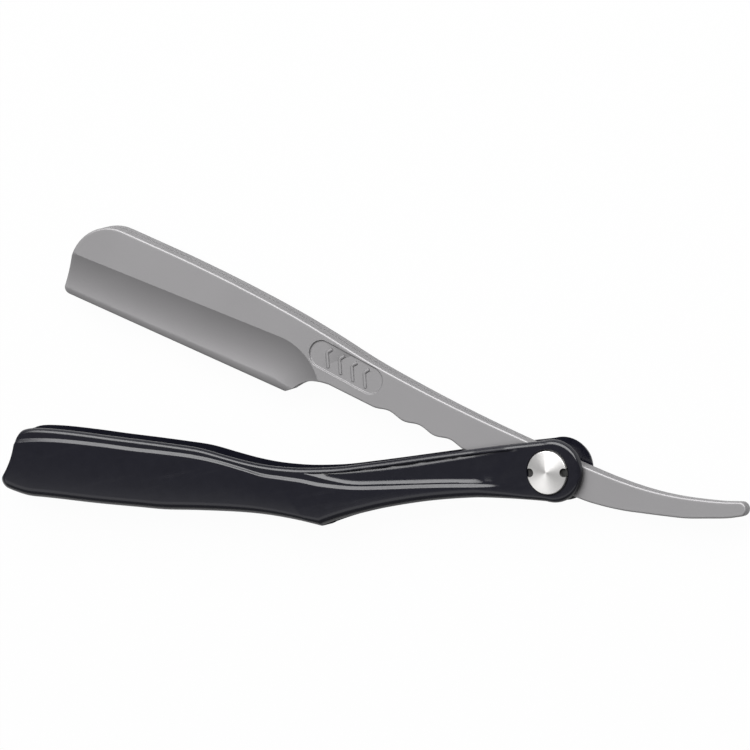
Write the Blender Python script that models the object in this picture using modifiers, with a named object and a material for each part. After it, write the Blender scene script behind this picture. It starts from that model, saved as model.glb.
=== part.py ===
"""Replaceable blade straight razor: a steel clamping holder folding into a moulded handle.

The razor lies on its side. +X points from the handle's broad end towards the tail, +Y is the
side where the holder folds out, and +Z is the pivot's axis. Every holder piece is drawn folded,
with its mouth edge along X, and the holder_pivot empty turns it out to the angle of rest.
All lengths are in metres and all angles in radians.
"""

import math

import bmesh
import bpy
from mathutils import Matrix, Vector

# Holder, overall
OPEN_ANGLE = math.radians(22.6)
TOE_REACH = 0.1043
HEEL_REACH = 0.0559
TAIL_REACH = 0.0397
MOUTH_DROP = 0.0073
SPINE_RISE = 0.0084
TANG_RISE = 0.0034
BELLY_DROP = 0.0024
BELLY_LEAN = 0.0004
HOLDER_THICKNESS = 0.0046
TANG_THICKNESS = 0.0030
TAIL_THICKNESS = 0.0020
HOLDER_EDGE_ROUND = 0.00035
TOE_ROUND = 0.0083
TOE_CORNER_ROUND = 0.0013
TOE_LEAN = 0.0001
TOE_LOW_SWEEP = math.radians(86)
TOE_HIGH_SWEEP = math.radians(84)
TAPER_SETBACK = 0.0059
TAPER_START = HEEL_REACH - TAPER_SETBACK
TAPER_END = 0.0080

# Holder, hollow ground faces and lips
HOLLOW_RADIUS = 0.0174
HOLLOW_LOW_RISE = 0.0031
HOLLOW_HALF_THICKNESS = 0.0010
LIP_HEIGHT = 0.0026
LIP_CROWN_HALF = 0.00112
LIP_HALF_THICKNESS = 0.00045
RUNOUT_SETBACK = 0.0031
RUNOUT_START = HEEL_REACH + RUNOUT_SETBACK
RUNOUT_DROP = 0.0022
RUNOUT_SWEEP = math.radians(100)
HOLLOW_LEAN = math.radians(2.2)
WHEEL_SPARE = 0.0005

# Holder, shank
SCALLOP_PITCH = 0.0066
SCALLOP_DEPTH = 0.0006
SCALLOP_COUNT = 3
SCALLOP_START = 0.0178
THUMB_LENGTH = 0.0160
THUMB_WIDTH = 0.0053
THUMB_DEPTH = 0.0003
THUMB_SETBACK = 0.0108
THUMB_REACH = HEEL_REACH - THUMB_SETBACK
THUMB_RISE = 0.0022
THUMB_LEAN = math.radians(4.5)

# Holder, what it holds inside
BLADE_SLOT = 0.0003
STOP_PIN_RADIUS = 0.0005
STOP_PIN_DEPTH = 0.0005
STOP_PIN_DROP = 0.0016
STOP_PIN_SETBACK = 0.0062
STOP_PIN_REACHES = {"toe": TOE_REACH - STOP_PIN_SETBACK, "heel": HEEL_REACH + STOP_PIN_SETBACK}
RIVET_RADIUS = 0.0009
RIVET_DEPTH = 0.0008
RIVET_PLACES = {
    "toe_dowel": (TOE_REACH - STOP_PIN_SETBACK, SPINE_RISE * 0.60),
    "shank_rivet_fore": (HEEL_REACH * 0.537, TANG_RISE * 0.235),
    "shank_rivet_aft": (HEEL_REACH * 0.233, TANG_RISE * 0.118),
}
MOUTH_LENGTH = TOE_REACH - HEEL_REACH
SPRING_DOWEL_WALL = 0.0011
SPRING_SPACING = MOUTH_LENGTH * 0.05
SPRING_START = HEEL_REACH + MOUTH_LENGTH * 0.10
SPRING_END = TOE_REACH - STOP_PIN_SETBACK - RIVET_RADIUS - SPRING_DOWEL_WALL
SPRING_LENGTH = (SPRING_END - SPRING_START - SPRING_SPACING) / 2
SPRING_REACHES = {"toe": SPRING_END - SPRING_LENGTH / 2, "heel": SPRING_START + SPRING_LENGTH / 2}
SPRING_WIDTH = 0.0020
SPRING_THICKNESS = 0.00025
SPRING_BOW = 0.0013
SPRING_RISE = 0.0053

# Pivot
BARREL_RADIUS = 0.0016
SCREW_SHANK_RADIUS = 0.0010
SCREW_SHANK_LENGTH = 0.0042
BUSH_WALL = 0.0006
BOSS_RADIUS = 0.0043
BOSS_PROUD = 0.0001
WASHER_RADIUS = 0.0040
WASHER_THICKNESS = 0.00025
SCREW_HEAD_RADIUS = 0.0040
SCREW_HEAD_THICKNESS = 0.0007
SCREW_CONE_RISE = 0.00025
SCREW_RIM_ROUND = 0.00015
NOTCH_RADIUS = 0.00082
NOTCH_INSET = 0.0005
NOTCH_DEPTH = 0.0005

# Handle
HANDLE_REACH = 0.1130
HANDLE_DEPTH = 0.0137
END_LEAN = 0.0036
END_SCOOP = 0.0006
KEEL_REACH = 0.0471
EAR_RADIUS = 0.00585
EAR_FORWARD = 0.0009
EAR_UP = 0.0002
EAR_WALL = 0.00105
EAR_ROUND = 0.0010
CHANNEL_WALL = 0.0013
CHANNEL_FLOOR = 0.0018
CHANNEL_END_WALL = 0.0026
CHANNEL_END_LEAN = 0.0012
HANDLE_EDGE_ROUND = 0.0017
WAIST_LEAN = 0.0080
WAIST_SETBACK = 0.0064
WAIST_REACH = KEEL_REACH + WAIST_SETBACK
LEDGE_STEP = 0.00035
SHOULDER_WIDTH = 0.0008
LEDGE_GAP = 0.0001
LEDGE_ROUND = 0.0009
LEDGE_FADE_IN = 0.0040
LEDGE_FADE_START = 0.0150
LEDGE_FADE_END = 0.0085
FLUTE_SETBACK = 0.0031
FLUTE_REACH = KEEL_REACH + FLUTE_SETBACK
FLUTE_DEPTH = 0.0003
END_ROUND_SHARE = 0.45
EDGE_ROUND_SHARE = 0.33
SHOULDER_WIDTH_SHARE = 0.20
LEDGE_GAP_SHARE = 0.02

# Clearances
HEAD_CLEARANCE = 0.0003
PIVOT_CLEARANCE = 0.00015
SEAT_CLEARANCE = 0.00015
COUNTERBORE_DEPTH = 0.0005
COUNTERBORE_CLEARANCE = 0.00025
OVERRUN = 0.0020
MERGE_DISTANCE = 0.000002

# Outlines, as shares of the sizes that they follow
SPINE_SHARES = [
    (0.917, 1.000), (0.860, 1.000), (0.778, 0.995), (0.672, 0.950), (0.565, 0.860), (0.479, 0.740),
    (0.391, 0.590), (0.303, 0.500), (0.218, 0.441), (0.134, 0.411), (0.060, 0.405),
]
NOTCH_SHARES = [(0.975, 0.850), (0.948, 0.610), (0.916, 0.440), (0.882, 0.350), (0.846, 0.310)]
TAIL_TOP_SHARES = [
    (0.000, 1.00), (0.210, 1.04), (0.320, 1.09), (0.432, 1.20), (0.540, 1.38), (0.646, 1.64),
    (0.747, 1.97), (0.849, 2.35), (0.930, 2.72),
]
TAIL_BOTTOM_SHARES = [
    (0.960, 2.00), (0.898, 1.60), (0.802, 1.12), (0.703, 0.65), (0.602, 0.29), (0.497, -0.06),
    (0.396, -0.38), (0.289, -0.62), (0.180, -0.76), (0.000, -0.80),
]
HANDLE_TOP_SHARES = [
    (1.000, 0.460), (0.992, 0.535), (0.981, 0.576), (0.962, 0.592), (0.924, 0.579), (0.868, 0.534),
    (0.812, 0.479), (0.756, 0.429), (0.700, 0.375), (0.653, 0.322), (0.607, 0.228), (0.569, 0.153),
    (0.532, 0.098), (0.495, 0.067), (0.457, 0.054), (0.400, 0.067), (0.344, 0.114), (0.294, 0.161),
    (0.184, 0.270), (0.074, 0.372), (-0.012, 0.442),
]
HANDLE_BOTTOM_SHARES = [
    (1.000, -0.174), (0.989, -0.227), (0.965, -0.297), (0.946, -0.333), (0.922, -0.351),
    (0.888, -0.378), (0.841, -0.419), (0.801, -0.449), (0.750, -0.482), (0.701, -0.514),
    (0.641, -0.523), (0.568, -0.545), (0.513, -0.584), (0.459, -0.656), (0.4176, -0.733),
]
LEG_BOTTOM_SHARES = [
    (0.4176, -0.733), (0.405, -0.696), (0.377, -0.628), (0.349, -0.572), (0.294, -0.480),
    (0.220, -0.397), (0.147, -0.356), (0.092, -0.355), (0.038, -0.375), (-0.012, -0.408),
]
SHOULDER_SHARES = [
    (1.000, 0.420), (0.937, 0.465), (0.882, 0.456), (0.810, 0.401), (0.754, 0.345), (0.700, 0.300),
    (0.647, 0.250), (0.601, 0.178), (0.556, 0.079), (0.520, -0.004), (0.484, -0.045), (0.448, -0.083),
    (0.412, -0.137), (0.357, -0.179), (0.302, -0.177), (0.229, -0.158), (0.155, -0.149), (0.000, -0.149),
]
FLUTE_SHARES = [
    (1.000, -0.011), (0.802, 0.023), (0.596, 0.091), (0.388, 0.192), (0.130, 0.322), (0.116, 0.296),
    (0.206, -0.080), (0.258, -0.134), (0.435, -0.137), (0.600, -0.151), (0.784, -0.162), (0.885, -0.110),
    (0.959, -0.045),
]

# Finishes: colour, roughness, metallic
FINISHES = {
    "blasted_steel": ((0.36, 0.36, 0.36, 1.0), 0.45, 1.0),
    "turned_steel": ((0.62, 0.61, 0.59, 1.0), 0.22, 1.0),
    "spring_steel": ((0.48, 0.49, 0.50, 1.0), 0.30, 1.0),
    "brass": ((0.72, 0.52, 0.22, 1.0), 0.35, 1.0),
    "black_resin": ((0.012, 0.012, 0.018, 1.0), 0.16, 0.0),
    "white_nylon": ((0.78, 0.77, 0.72, 1.0), 0.55, 0.0),
}

# How finely round forms are divided
ARC_STEPS = 10
ROUND_SIDES = 48
SMALL_ROUND_SIDES = 24
CURVE_STEPS = 3
HOLLOW_STEPS = 14
LIP_STEPS = 5
CORNER_STEPS = 4
SHOULDER_STEPS = 3
END_STEPS = 5
BROAD_STEPS = 20
WAIST_STEPS = 3
LEG_STEPS = 14
EAR_STEPS = 8
FLOOR_STEPS = 8
CROSSING_TRIES = 24

# Sizes that follow from the ones above
HOLDER_HALF = HOLDER_THICKNESS / 2
TANG_HALF = TANG_THICKNESS / 2
TAIL_HALF = TAIL_THICKNESS / 2
SLOT_HALF = BLADE_SLOT / 2
BOSS_HALF = TANG_HALF + BOSS_PROUD
WASHER_LOW = BOSS_HALF + PIVOT_CLEARANCE
EAR_INNER = WASHER_LOW + WASHER_THICKNESS + PIVOT_CLEARANCE
EAR_OUTER = EAR_INNER + EAR_WALL
CHANNEL_HALF = HOLDER_HALF + HEAD_CLEARANCE
HANDLE_HALF = CHANNEL_HALF + CHANNEL_WALL
HEAD_SEAT = EAR_OUTER - COUNTERBORE_DEPTH
HEAD_LOW = HEAD_SEAT + SEAT_CLEARANCE
HEAD_TOP = HEAD_LOW + SCREW_HEAD_THICKNESS
BUSH_BORE = BARREL_RADIUS + PIVOT_CLEARANCE
BUSH_RADIUS = BUSH_BORE + BUSH_WALL
STEP_RADIUS = BOSS_RADIUS + PIVOT_CLEARANCE


def clear_scene():
    """Take every object out of the file, so that the script can be run again."""
    for old in list(bpy.data.objects):
        bpy.data.objects.remove(old, do_unlink=True)


def make_collection(name):
    """A collection linked to the scene."""
    collection = bpy.data.collections.new(name)
    bpy.context.scene.collection.children.link(collection)
    return collection


def make_finish(name):
    """A Principled material from the table of finishes."""
    colour, roughness, metallic = FINISHES[name]
    finish = bpy.data.materials.new(name)
    finish.use_nodes = True
    shader = finish.node_tree.nodes["Principled BSDF"]
    shader.inputs["Base Color"].default_value = colour
    shader.inputs["Roughness"].default_value = roughness
    shader.inputs["Metallic"].default_value = metallic
    finish.diffuse_color = colour
    return finish


def make_empty(name, collection):
    """An empty that carries the pieces of one body."""
    empty = bpy.data.objects.new(name, None)
    collection.objects.link(empty)
    return empty


def face_outward(shape):
    """Point a closed bmesh's faces outwards."""
    bmesh.ops.recalc_face_normals(shape, faces=shape.faces)
    if shape.calc_volume(signed=True) < 0:
        bmesh.ops.reverse_faces(shape, faces=shape.faces)


def object_from_bmesh(name, shape, collection):
    """A mesh object from a bmesh, which is freed."""
    face_outward(shape)
    mesh = bpy.data.meshes.new(name)
    shape.to_mesh(mesh)
    shape.free()
    obj = bpy.data.objects.new(name, mesh)
    collection.objects.link(obj)
    return obj


def bake(obj):
    """Replace an object's mesh by what its modifiers make of it."""
    depsgraph = bpy.context.evaluated_depsgraph_get()
    mesh = bpy.data.meshes.new_from_object(obj.evaluated_get(depsgraph))
    obj.modifiers.clear()
    obj.data = mesh
    return obj


def boolean(target, cutter, operation="DIFFERENCE"):
    """Cut, join or intersect a target with a cutter, with the exact solver."""
    modifier = target.modifiers.new(operation.lower(), "BOOLEAN")
    modifier.operation = operation
    modifier.solver = "EXACT"
    modifier.object = cutter
    return bake(target)


def smooth_points(points, steps=CURVE_STEPS):
    """Points on a curve that passes smoothly through the given ones."""
    ends = [points[0], *points, points[-1]]
    result = []
    for index in range(1, len(ends) - 2):
        before, start, finish, after = (Vector(ends[index + offset]) for offset in (-1, 0, 1, 2))
        for step in range(steps):
            t = step / steps
            result.append(tuple(
                0.5 * (2 * start[axis] + (finish[axis] - before[axis]) * t
                       + (2 * before[axis] - 5 * start[axis] + 4 * finish[axis] - after[axis]) * t ** 2
                       + (3 * start[axis] - before[axis] - 3 * finish[axis] + after[axis]) * t ** 3)
                for axis in (0, 1)))
    result.append(tuple(points[-1]))
    return result


def arc_points(centre, radius, start, finish, steps):
    """Points along an arc, both ends included."""
    return [
        (centre[0] + radius * math.cos(start + (finish - start) * step / steps),
         centre[1] + radius * math.sin(start + (finish - start) * step / steps))
        for step in range(steps + 1)
    ]


def height_at(points, x):
    """The height of a line of points where it passes x."""
    ordered = sorted(points)
    if x <= ordered[0][0]:
        return ordered[0][1]
    for (x_low, y_low), (x_high, y_high) in zip(ordered, ordered[1:]):
        if x_low <= x <= x_high:
            if x_high == x_low:
                return y_high
            return y_low + (y_high - y_low) * (x - x_low) / (x_high - x_low)
    return ordered[-1][1]


def outline_solid(name, points, low, high, collection):
    """A flat outline, a closed 2D curve, extruded from one height to another."""
    curve = bpy.data.curves.new(name, "CURVE")
    curve.dimensions = "2D"
    curve.fill_mode = "BOTH"
    curve.extrude = (high - low) / 2
    spline = curve.splines.new("POLY")
    spline.points.add(len(points) - 1)
    for point, (x, y) in zip(spline.points, points):
        point.co = (x, y, 0, 1)
    spline.use_cyclic_u = True
    holder = bpy.data.objects.new(name, curve)
    collection.objects.link(holder)
    depsgraph = bpy.context.evaluated_depsgraph_get()
    mesh = bpy.data.meshes.new_from_object(holder.evaluated_get(depsgraph))
    bpy.data.objects.remove(holder, do_unlink=True)
    shape = bmesh.new()
    shape.from_mesh(mesh)
    bmesh.ops.translate(shape, verts=shape.verts, vec=(0, 0, (high + low) / 2))
    bmesh.ops.remove_doubles(shape, verts=shape.verts, dist=MERGE_DISTANCE)
    bmesh.ops.dissolve_limit(shape, angle_limit=math.radians(0.05), verts=shape.verts, edges=shape.edges)
    return object_from_bmesh(name, shape, collection)


def cylinder(name, radius, low, high, collection, place=(0, 0), sides=ROUND_SIDES):
    """An upright cylinder from one height to another."""
    shape = bmesh.new()
    bmesh.ops.create_cone(shape, cap_ends=True, segments=sides, radius1=radius, radius2=radius,
                          depth=high - low)
    bmesh.ops.translate(shape, verts=shape.verts, vec=(place[0], place[1], (high + low) / 2))
    return object_from_bmesh(name, shape, collection)


def box(name, low, high, collection):
    """A box between two corners."""
    shape = bmesh.new()
    bmesh.ops.create_cube(shape, size=1)
    low, high = Vector(low), Vector(high)
    bmesh.ops.scale(shape, verts=shape.verts, vec=high - low)
    bmesh.ops.translate(shape, verts=shape.verts, vec=(low + high) / 2)
    return object_from_bmesh(name, shape, collection)


def turned(name, profile, collection, sides=ROUND_SIDES):
    """A profile of (radius, height) points turned about Z with a Screw modifier, top to bottom."""
    shape = bmesh.new()
    corners = [shape.verts.new((radius, 0, height)) for radius, height in profile]
    for start, finish in zip(corners, corners[1:]):
        shape.edges.new((start, finish))
    mesh = bpy.data.meshes.new(name)
    shape.to_mesh(mesh)
    shape.free()
    obj = bpy.data.objects.new(name, mesh)
    collection.objects.link(obj)
    screw = obj.modifiers.new("turn", "SCREW")
    screw.steps = sides
    screw.render_steps = sides
    screw.use_merge_vertices = True
    screw.merge_threshold = MERGE_DISTANCE
    bake(obj)
    shape = bmesh.new()
    shape.from_mesh(obj.data)
    face_outward(shape)
    shape.to_mesh(obj.data)
    shape.free()
    return obj


def split_at(obj, reaches):
    """Cut a mesh's faces along planes across X, so that a taper keeps every face flat."""
    shape = bmesh.new()
    shape.from_mesh(obj.data)
    for reach in reaches:
        bmesh.ops.bisect_plane(shape, geom=[*shape.verts, *shape.edges, *shape.faces],
                               plane_co=(reach, 0, 0), plane_no=(1, 0, 0), dist=MERGE_DISTANCE / 10)
    shape.to_mesh(obj.data)
    shape.free()


def taper(obj, half_at, half_drawn):
    """Scale a piece's thickness along X, from the half thickness that it was drawn with."""
    for vertex in obj.data.vertices:
        vertex.co.z *= half_at(vertex.co.x) / half_drawn


def round_edges(obj, width, segments, angle=math.radians(40)):
    """Round the sharp edges of a piece."""
    bevel = obj.modifiers.new("round", "BEVEL")
    bevel.width = width
    bevel.segments = segments
    bevel.limit_method = "ANGLE"
    bevel.angle_limit = angle
    bevel.use_clamp_overlap = True
    bake(obj)
    return obj


def holder_half_at(x):
    """Half the holder's thickness at x, from the flat head through the shank to the tail."""
    return height_at([
        (-TAPER_START, HOLDER_HALF), (-TAPER_END, TANG_HALF), (TAPER_END, TANG_HALF),
        (TAIL_REACH, TAIL_HALF),
    ], x)


def belly_points():
    """The shank's lower edge: finger scallops towards the pivot, plain towards the head."""
    length = SCALLOP_PITCH * SCALLOP_COUNT
    count = SCALLOP_COUNT * ARC_STEPS
    points = []
    for step in range(count + 1):
        along = length * step / count
        wave = (1 - math.cos(2 * math.pi * along / SCALLOP_PITCH)) / 2
        drop = BELLY_DROP + BELLY_LEAN * (1 - along / length)
        points.append((-(SCALLOP_START + along), -drop - SCALLOP_DEPTH / 2 + SCALLOP_DEPTH * wave))
    return points


def toe_points():
    """The toe, from the mouth's corner up and round to the spine."""
    corner = (-TOE_REACH + TOE_CORNER_ROUND + TOE_LEAN, -MOUTH_DROP + TOE_CORNER_ROUND)
    crown = (-TOE_REACH + TOE_ROUND, SPINE_RISE - TOE_ROUND)
    low = arc_points(corner, TOE_CORNER_ROUND, -math.pi / 2, -math.pi / 2 - TOE_LOW_SWEEP, ARC_STEPS // 2)
    high = arc_points(crown, TOE_ROUND, math.pi, math.pi - TOE_HIGH_SWEEP, ARC_STEPS)
    return [*low, *high]


def holder_outline():
    """The holder's whole outline, folded: toe, spine, tail, belly, heel notch and mouth."""
    spine = smooth_points([(-TOE_REACH * along, SPINE_RISE * rise) for along, rise in SPINE_SHARES])
    tail_top = smooth_points([(TAIL_REACH * along, TANG_RISE * rise) for along, rise in TAIL_TOP_SHARES])
    tail_low = smooth_points([(TAIL_REACH * along, TANG_RISE * rise) for along, rise in TAIL_BOTTOM_SHARES])
    tip = tail_tip(tail_top[-1], tail_low[0])
    notch = smooth_points([(-HEEL_REACH * along, -MOUTH_DROP * drop) for along, drop in NOTCH_SHARES])
    heel = (-HEEL_REACH, -MOUTH_DROP)
    return [*toe_points(), *spine, *tail_top, *tip, *tail_low, *belly_points(), *reversed(notch), heel]


def tail_tip(top, low):
    """The half round end that joins the tail's two edges."""
    middle = (Vector(top) + Vector(low)) / 2
    across = Vector(top) - middle
    start = math.atan2(across.y, across.x)
    arc = arc_points(middle, across.length, start, start - math.pi, ARC_STEPS)
    return arc[1:-1]


def hollow_profile():
    """The ground face's section: (rise over the mouth, half thickness), lowest point first."""
    high_rise = HOLLOW_LOW_RISE + math.sqrt(HOLLOW_RADIUS ** 2 - (HOLLOW_RADIUS - hollow_depth()) ** 2)
    low_rise = SLOT_HALF - RUNOUT_DROP
    rises = [low_rise + (high_rise - low_rise) * step / HOLLOW_STEPS for step in range(HOLLOW_STEPS + 1)]
    return [(rise, hollow_half_at(rise)) for rise in rises]


def hollow_depth():
    """How deep the wheel cuts below the flat face, with some to spare above it."""
    return HOLDER_HALF - HOLLOW_HALF_THICKNESS + WHEEL_SPARE


def hollow_half_at(rise):
    """Half the thickness of the hollow ground section at a height over the mouth."""
    across = rise - HOLLOW_LOW_RISE
    return HOLLOW_HALF_THICKNESS + HOLLOW_RADIUS - math.sqrt(HOLLOW_RADIUS ** 2 - across ** 2)


def hollow_cutter(name, collection):
    """What the grinding wheel takes off one face: a straight pass that turns out at the heel."""
    profile = hollow_profile()
    top = HOLDER_HALF + OVERRUN
    section = [*profile, (profile[-1][0], top), (profile[0][0], top)]
    centre = Vector((-RUNOUT_START, -MOUTH_DROP - RUNOUT_DROP, 0))
    straight = TOE_REACH - RUNOUT_START + OVERRUN
    frames = [Matrix.Translation(centre) @ Matrix.Rotation(HOLLOW_LEAN, 4, "Z")
              @ Matrix.Translation((-straight, 0, 0))]
    for step in range(ARC_STEPS + 1):
        frames.append(Matrix.Translation(centre)
                      @ Matrix.Rotation(HOLLOW_LEAN - RUNOUT_SWEEP * step / ARC_STEPS, 4, "Z"))
    shape = bmesh.new()
    rings = []
    for frame in frames:
        rings.append([shape.verts.new(frame @ Vector((0, rise + RUNOUT_DROP, half)))
                      for rise, half in section])
    count = len(section)
    for ring, following in zip(rings, rings[1:]):
        for index in range(count):
            after = (index + 1) % count
            shape.faces.new((ring[index], ring[after], following[after], following[index]))
    shape.faces.new(rings[0])
    shape.faces.new(list(reversed(rings[-1])))
    return object_from_bmesh(name, shape, collection)


def lip_cutter(name, collection):
    """What rounds one lip over to the mouth's edge, along the whole mouth and over the heel's corner."""
    top = HOLDER_HALF + OVERRUN
    section = [(-OVERRUN, top), (-OVERRUN, LIP_HALF_THICKNESS)]
    for step in range(LIP_STEPS + 1):
        turn = math.pi / 2 * step / LIP_STEPS
        section.append((LIP_HEIGHT * (1 - math.cos(turn)),
                        LIP_HALF_THICKNESS + (LIP_CROWN_HALF - LIP_HALF_THICKNESS) * math.sin(turn)))
    section.append((LIP_HEIGHT, top))
    shape = bmesh.new()
    ends = [[shape.verts.new((x, rise - MOUTH_DROP, half)) for rise, half in section]
            for x in (-TOE_REACH - OVERRUN, -HEEL_REACH + LIP_HEIGHT)]
    for index in range(len(section)):
        after = (index + 1) % len(section)
        shape.faces.new((ends[0][index], ends[0][after], ends[1][after], ends[1][index]))
    shape.faces.new(ends[0])
    shape.faces.new(list(reversed(ends[1])))
    return object_from_bmesh(name, shape, collection)


def mirrored(obj, name, collection):
    """A copy of a piece on the other side of the plane of the blade."""
    shape = bmesh.new()
    shape.from_mesh(obj.data)
    bmesh.ops.scale(shape, verts=shape.verts, vec=(1, 1, -1))
    return object_from_bmesh(name, shape, collection)


def thumb_outline():
    """The long oval sunk into the shank for the thumb."""
    half_run = (THUMB_LENGTH - THUMB_WIDTH) / 2
    radius = THUMB_WIDTH / 2
    ends = [*arc_points((half_run, 0), radius, math.radians(-90), math.radians(90), ARC_STEPS),
            *arc_points((-half_run, 0), radius, math.radians(90), math.radians(270), ARC_STEPS)]
    turn = Matrix.Rotation(-THUMB_LEAN, 2)
    centre = Vector((-THUMB_REACH, THUMB_RISE))
    return [tuple(turn @ Vector(point) + centre) for point in ends]


def sunk_cutter(name, points, reaches, floor_at, above, collection):
    """What sinks an outline into a tapering face: its floor keeps to a height given at each x."""
    cutter = outline_solid(name, points, 0, above, collection)
    split_at(cutter, reaches)
    for vertex in cutter.data.vertices:
        if vertex.co.z < above / 2:
            vertex.co.z = floor_at(vertex.co.x)
    return cutter


def holder_blank(parts, cutters):
    """The holder in one piece, ground hollow on both faces, with the thumb ovals."""
    blank = outline_solid("holder_blank", holder_outline(), -HOLDER_HALF, HOLDER_HALF, parts)
    split_at(blank, [-TAPER_START, -TAPER_END, TAPER_END])
    round_edges(blank, HOLDER_EDGE_ROUND, 2)
    taper(blank, holder_half_at, HOLDER_HALF)
    wheel = hollow_cutter("front_hollow_cut", cutters)
    boolean(blank, wheel)
    boolean(blank, mirrored(wheel, "back_hollow_cut", cutters))
    lip = lip_cutter("front_lip_cut", cutters)
    boolean(blank, lip)
    boolean(blank, mirrored(lip, "back_lip_cut", cutters))
    oval = sunk_cutter("front_thumb_cut", thumb_outline(), [-TAPER_START],
                       lambda x: holder_half_at(x) - THUMB_DEPTH, HOLDER_HALF + OVERRUN, cutters)
    boolean(blank, oval)
    boolean(blank, mirrored(oval, "back_thumb_cut", cutters))
    return blank


def copy_of(obj, name, collection):
    """A copy with its own mesh."""
    twin = bpy.data.objects.new(name, obj.data.copy())
    collection.objects.link(twin)
    return twin


def make_holder_halves(parts, cutters):
    """Split the blank into its two halves along the blade slot, with a lapped joint at the pivot."""
    blank = holder_blank(parts, cutters)
    left = -TOE_REACH - OVERRUN
    tall = max(SPINE_RISE, MOUTH_DROP) + OVERRUN
    lap = -STEP_RADIUS / 2
    above = HOLDER_HALF + OVERRUN

    front = copy_of(blank, "holder_front", parts)
    front_space = box("front_half_space", (left, -tall, SLOT_HALF), (lap, tall, above), cutters)
    boolean(front_space, cylinder("front_end_cut", STEP_RADIUS + BLADE_SLOT, -above, above + OVERRUN, cutters))
    boolean(front, front_space, "INTERSECT")

    back = copy_of(blank, "holder_back", parts)
    back_cut = box("back_half_cut", (left, -tall, -SLOT_HALF), (lap, tall, above), cutters)
    boolean(back_cut, cylinder("back_step_cut", STEP_RADIUS, -above, above + OVERRUN, cutters))
    boolean(back, back_cut)
    boolean(back, cylinder("pivot_boss", BOSS_RADIUS, -BOSS_HALF, BOSS_HALF, cutters), "UNION")
    boolean(back, cylinder("pivot_hole", BUSH_RADIUS + PIVOT_CLEARANCE, -above, above, cutters,
                           sides=ROUND_SIDES))
    bpy.data.objects.remove(blank, do_unlink=True)
    return front, back


def spring_pocket_depth():
    """How deep each half is pocketed for a bowed clamp spring."""
    return (SPRING_BOW + SPRING_THICKNESS) / 2 + SEAT_CLEARANCE - SLOT_HALF


def make_clamp_spring(name, reach, parts):
    """A bowed strip that presses the halves apart at the spine, so that the lips close."""
    shape = bmesh.new()
    rows = []
    for step in range(ARC_STEPS + 1):
        along = step / ARC_STEPS - 0.5
        lift = SPRING_BOW * (0.5 - (2 * along) ** 2)
        rows.append([shape.verts.new((-reach + SPRING_LENGTH * along, SPRING_RISE + side * SPRING_WIDTH / 2, lift))
                     for side in (-1, 1)])
    for row, following in zip(rows, rows[1:]):
        shape.faces.new((row[0], following[0], following[1], row[1]))
    strip = object_from_bmesh(name, shape, parts)
    wall = strip.modifiers.new("wall", "SOLIDIFY")
    wall.thickness = SPRING_THICKNESS
    wall.offset = 0
    bake(strip)
    return strip


def make_pin(name, place, radius, depth, parts):
    """A small pin across the slot between the halves."""
    half = SLOT_HALF + depth
    return cylinder(name, radius, -half, half, parts, place, SMALL_ROUND_SIDES)


def pin_hole(name, place, radius, depth, cutters):
    """The blind hole in both halves that a pin stands in."""
    half = SLOT_HALF + depth + SEAT_CLEARANCE
    return cylinder(name, radius + SEAT_CLEARANCE, -half, half, cutters, place, SMALL_ROUND_SIDES)


def fit_inner_pieces(front, back, parts, cutters):
    """Springs, stop pins and rivets, each with its pocket in both halves."""
    inner = []
    pocket = spring_pocket_depth() + SLOT_HALF
    for end, reach in SPRING_REACHES.items():
        half_length = SPRING_LENGTH / 2 + SEAT_CLEARANCE * 2
        half_width = SPRING_WIDTH / 2 + SEAT_CLEARANCE
        well = box(f"clamp_spring_{end}_pocket",
                   (-reach - half_length, SPRING_RISE - half_width, -pocket),
                   (-reach + half_length, SPRING_RISE + half_width, pocket), cutters)
        boolean(front, well)
        boolean(back, well)
        inner.append((make_clamp_spring(f"clamp_spring_{end}", reach, parts), "spring_steel"))
    for end, reach in STOP_PIN_REACHES.items():
        place = (-reach, -STOP_PIN_DROP)
        name = f"blade_stop_pin_{end}"
        hole = pin_hole(f"{name}_hole", place, STOP_PIN_RADIUS, STOP_PIN_DEPTH, cutters)
        boolean(front, hole)
        boolean(back, hole)
        inner.append((make_pin(name, place, STOP_PIN_RADIUS, STOP_PIN_DEPTH, parts), "turned_steel"))
    for name, (reach, rise) in RIVET_PLACES.items():
        place = (-reach, rise)
        hole = pin_hole(f"{name}_hole", place, RIVET_RADIUS, RIVET_DEPTH, cutters)
        boolean(front, hole)
        boolean(back, hole)
        inner.append((make_pin(name, place, RIVET_RADIUS, RIVET_DEPTH, parts), "turned_steel"))
    return inner


def make_bush(parts):
    """The sleeve in the tang that turns on the nut's barrel."""
    return turned("pivot_bush", [
        (BUSH_BORE, BOSS_HALF), (BUSH_RADIUS, BOSS_HALF), (BUSH_RADIUS, -BOSS_HALF),
        (BUSH_BORE, -BOSS_HALF), (BUSH_BORE, BOSS_HALF),
    ], parts, SMALL_ROUND_SIDES * 2)


def make_washer(name, low, parts):
    """A flat friction washer between the tang's boss and one ear."""
    high = low + WASHER_THICKNESS
    bore = BARREL_RADIUS + PIVOT_CLEARANCE
    return turned(name, [(bore, high), (WASHER_RADIUS, high), (WASHER_RADIUS, low), (bore, low), (bore, high)],
                  parts)


def cut_notches(head, side, cutters):
    """Two half round spanner notches in a screw head's rim."""
    reach = SCREW_HEAD_RADIUS - NOTCH_INSET
    for end in (-1, 1):
        low = HEAD_TOP - NOTCH_DEPTH
        high = HEAD_TOP + SCREW_CONE_RISE + OVERRUN
        low, high = (low, high) if side > 0 else (-high, -low)
        notch = cylinder(f"{head.name}_notch_{'left' if end < 0 else 'right'}", NOTCH_RADIUS, low, high,
                         cutters, (end * reach, 0), SMALL_ROUND_SIDES)
        boolean(head, notch)
    return head


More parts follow.
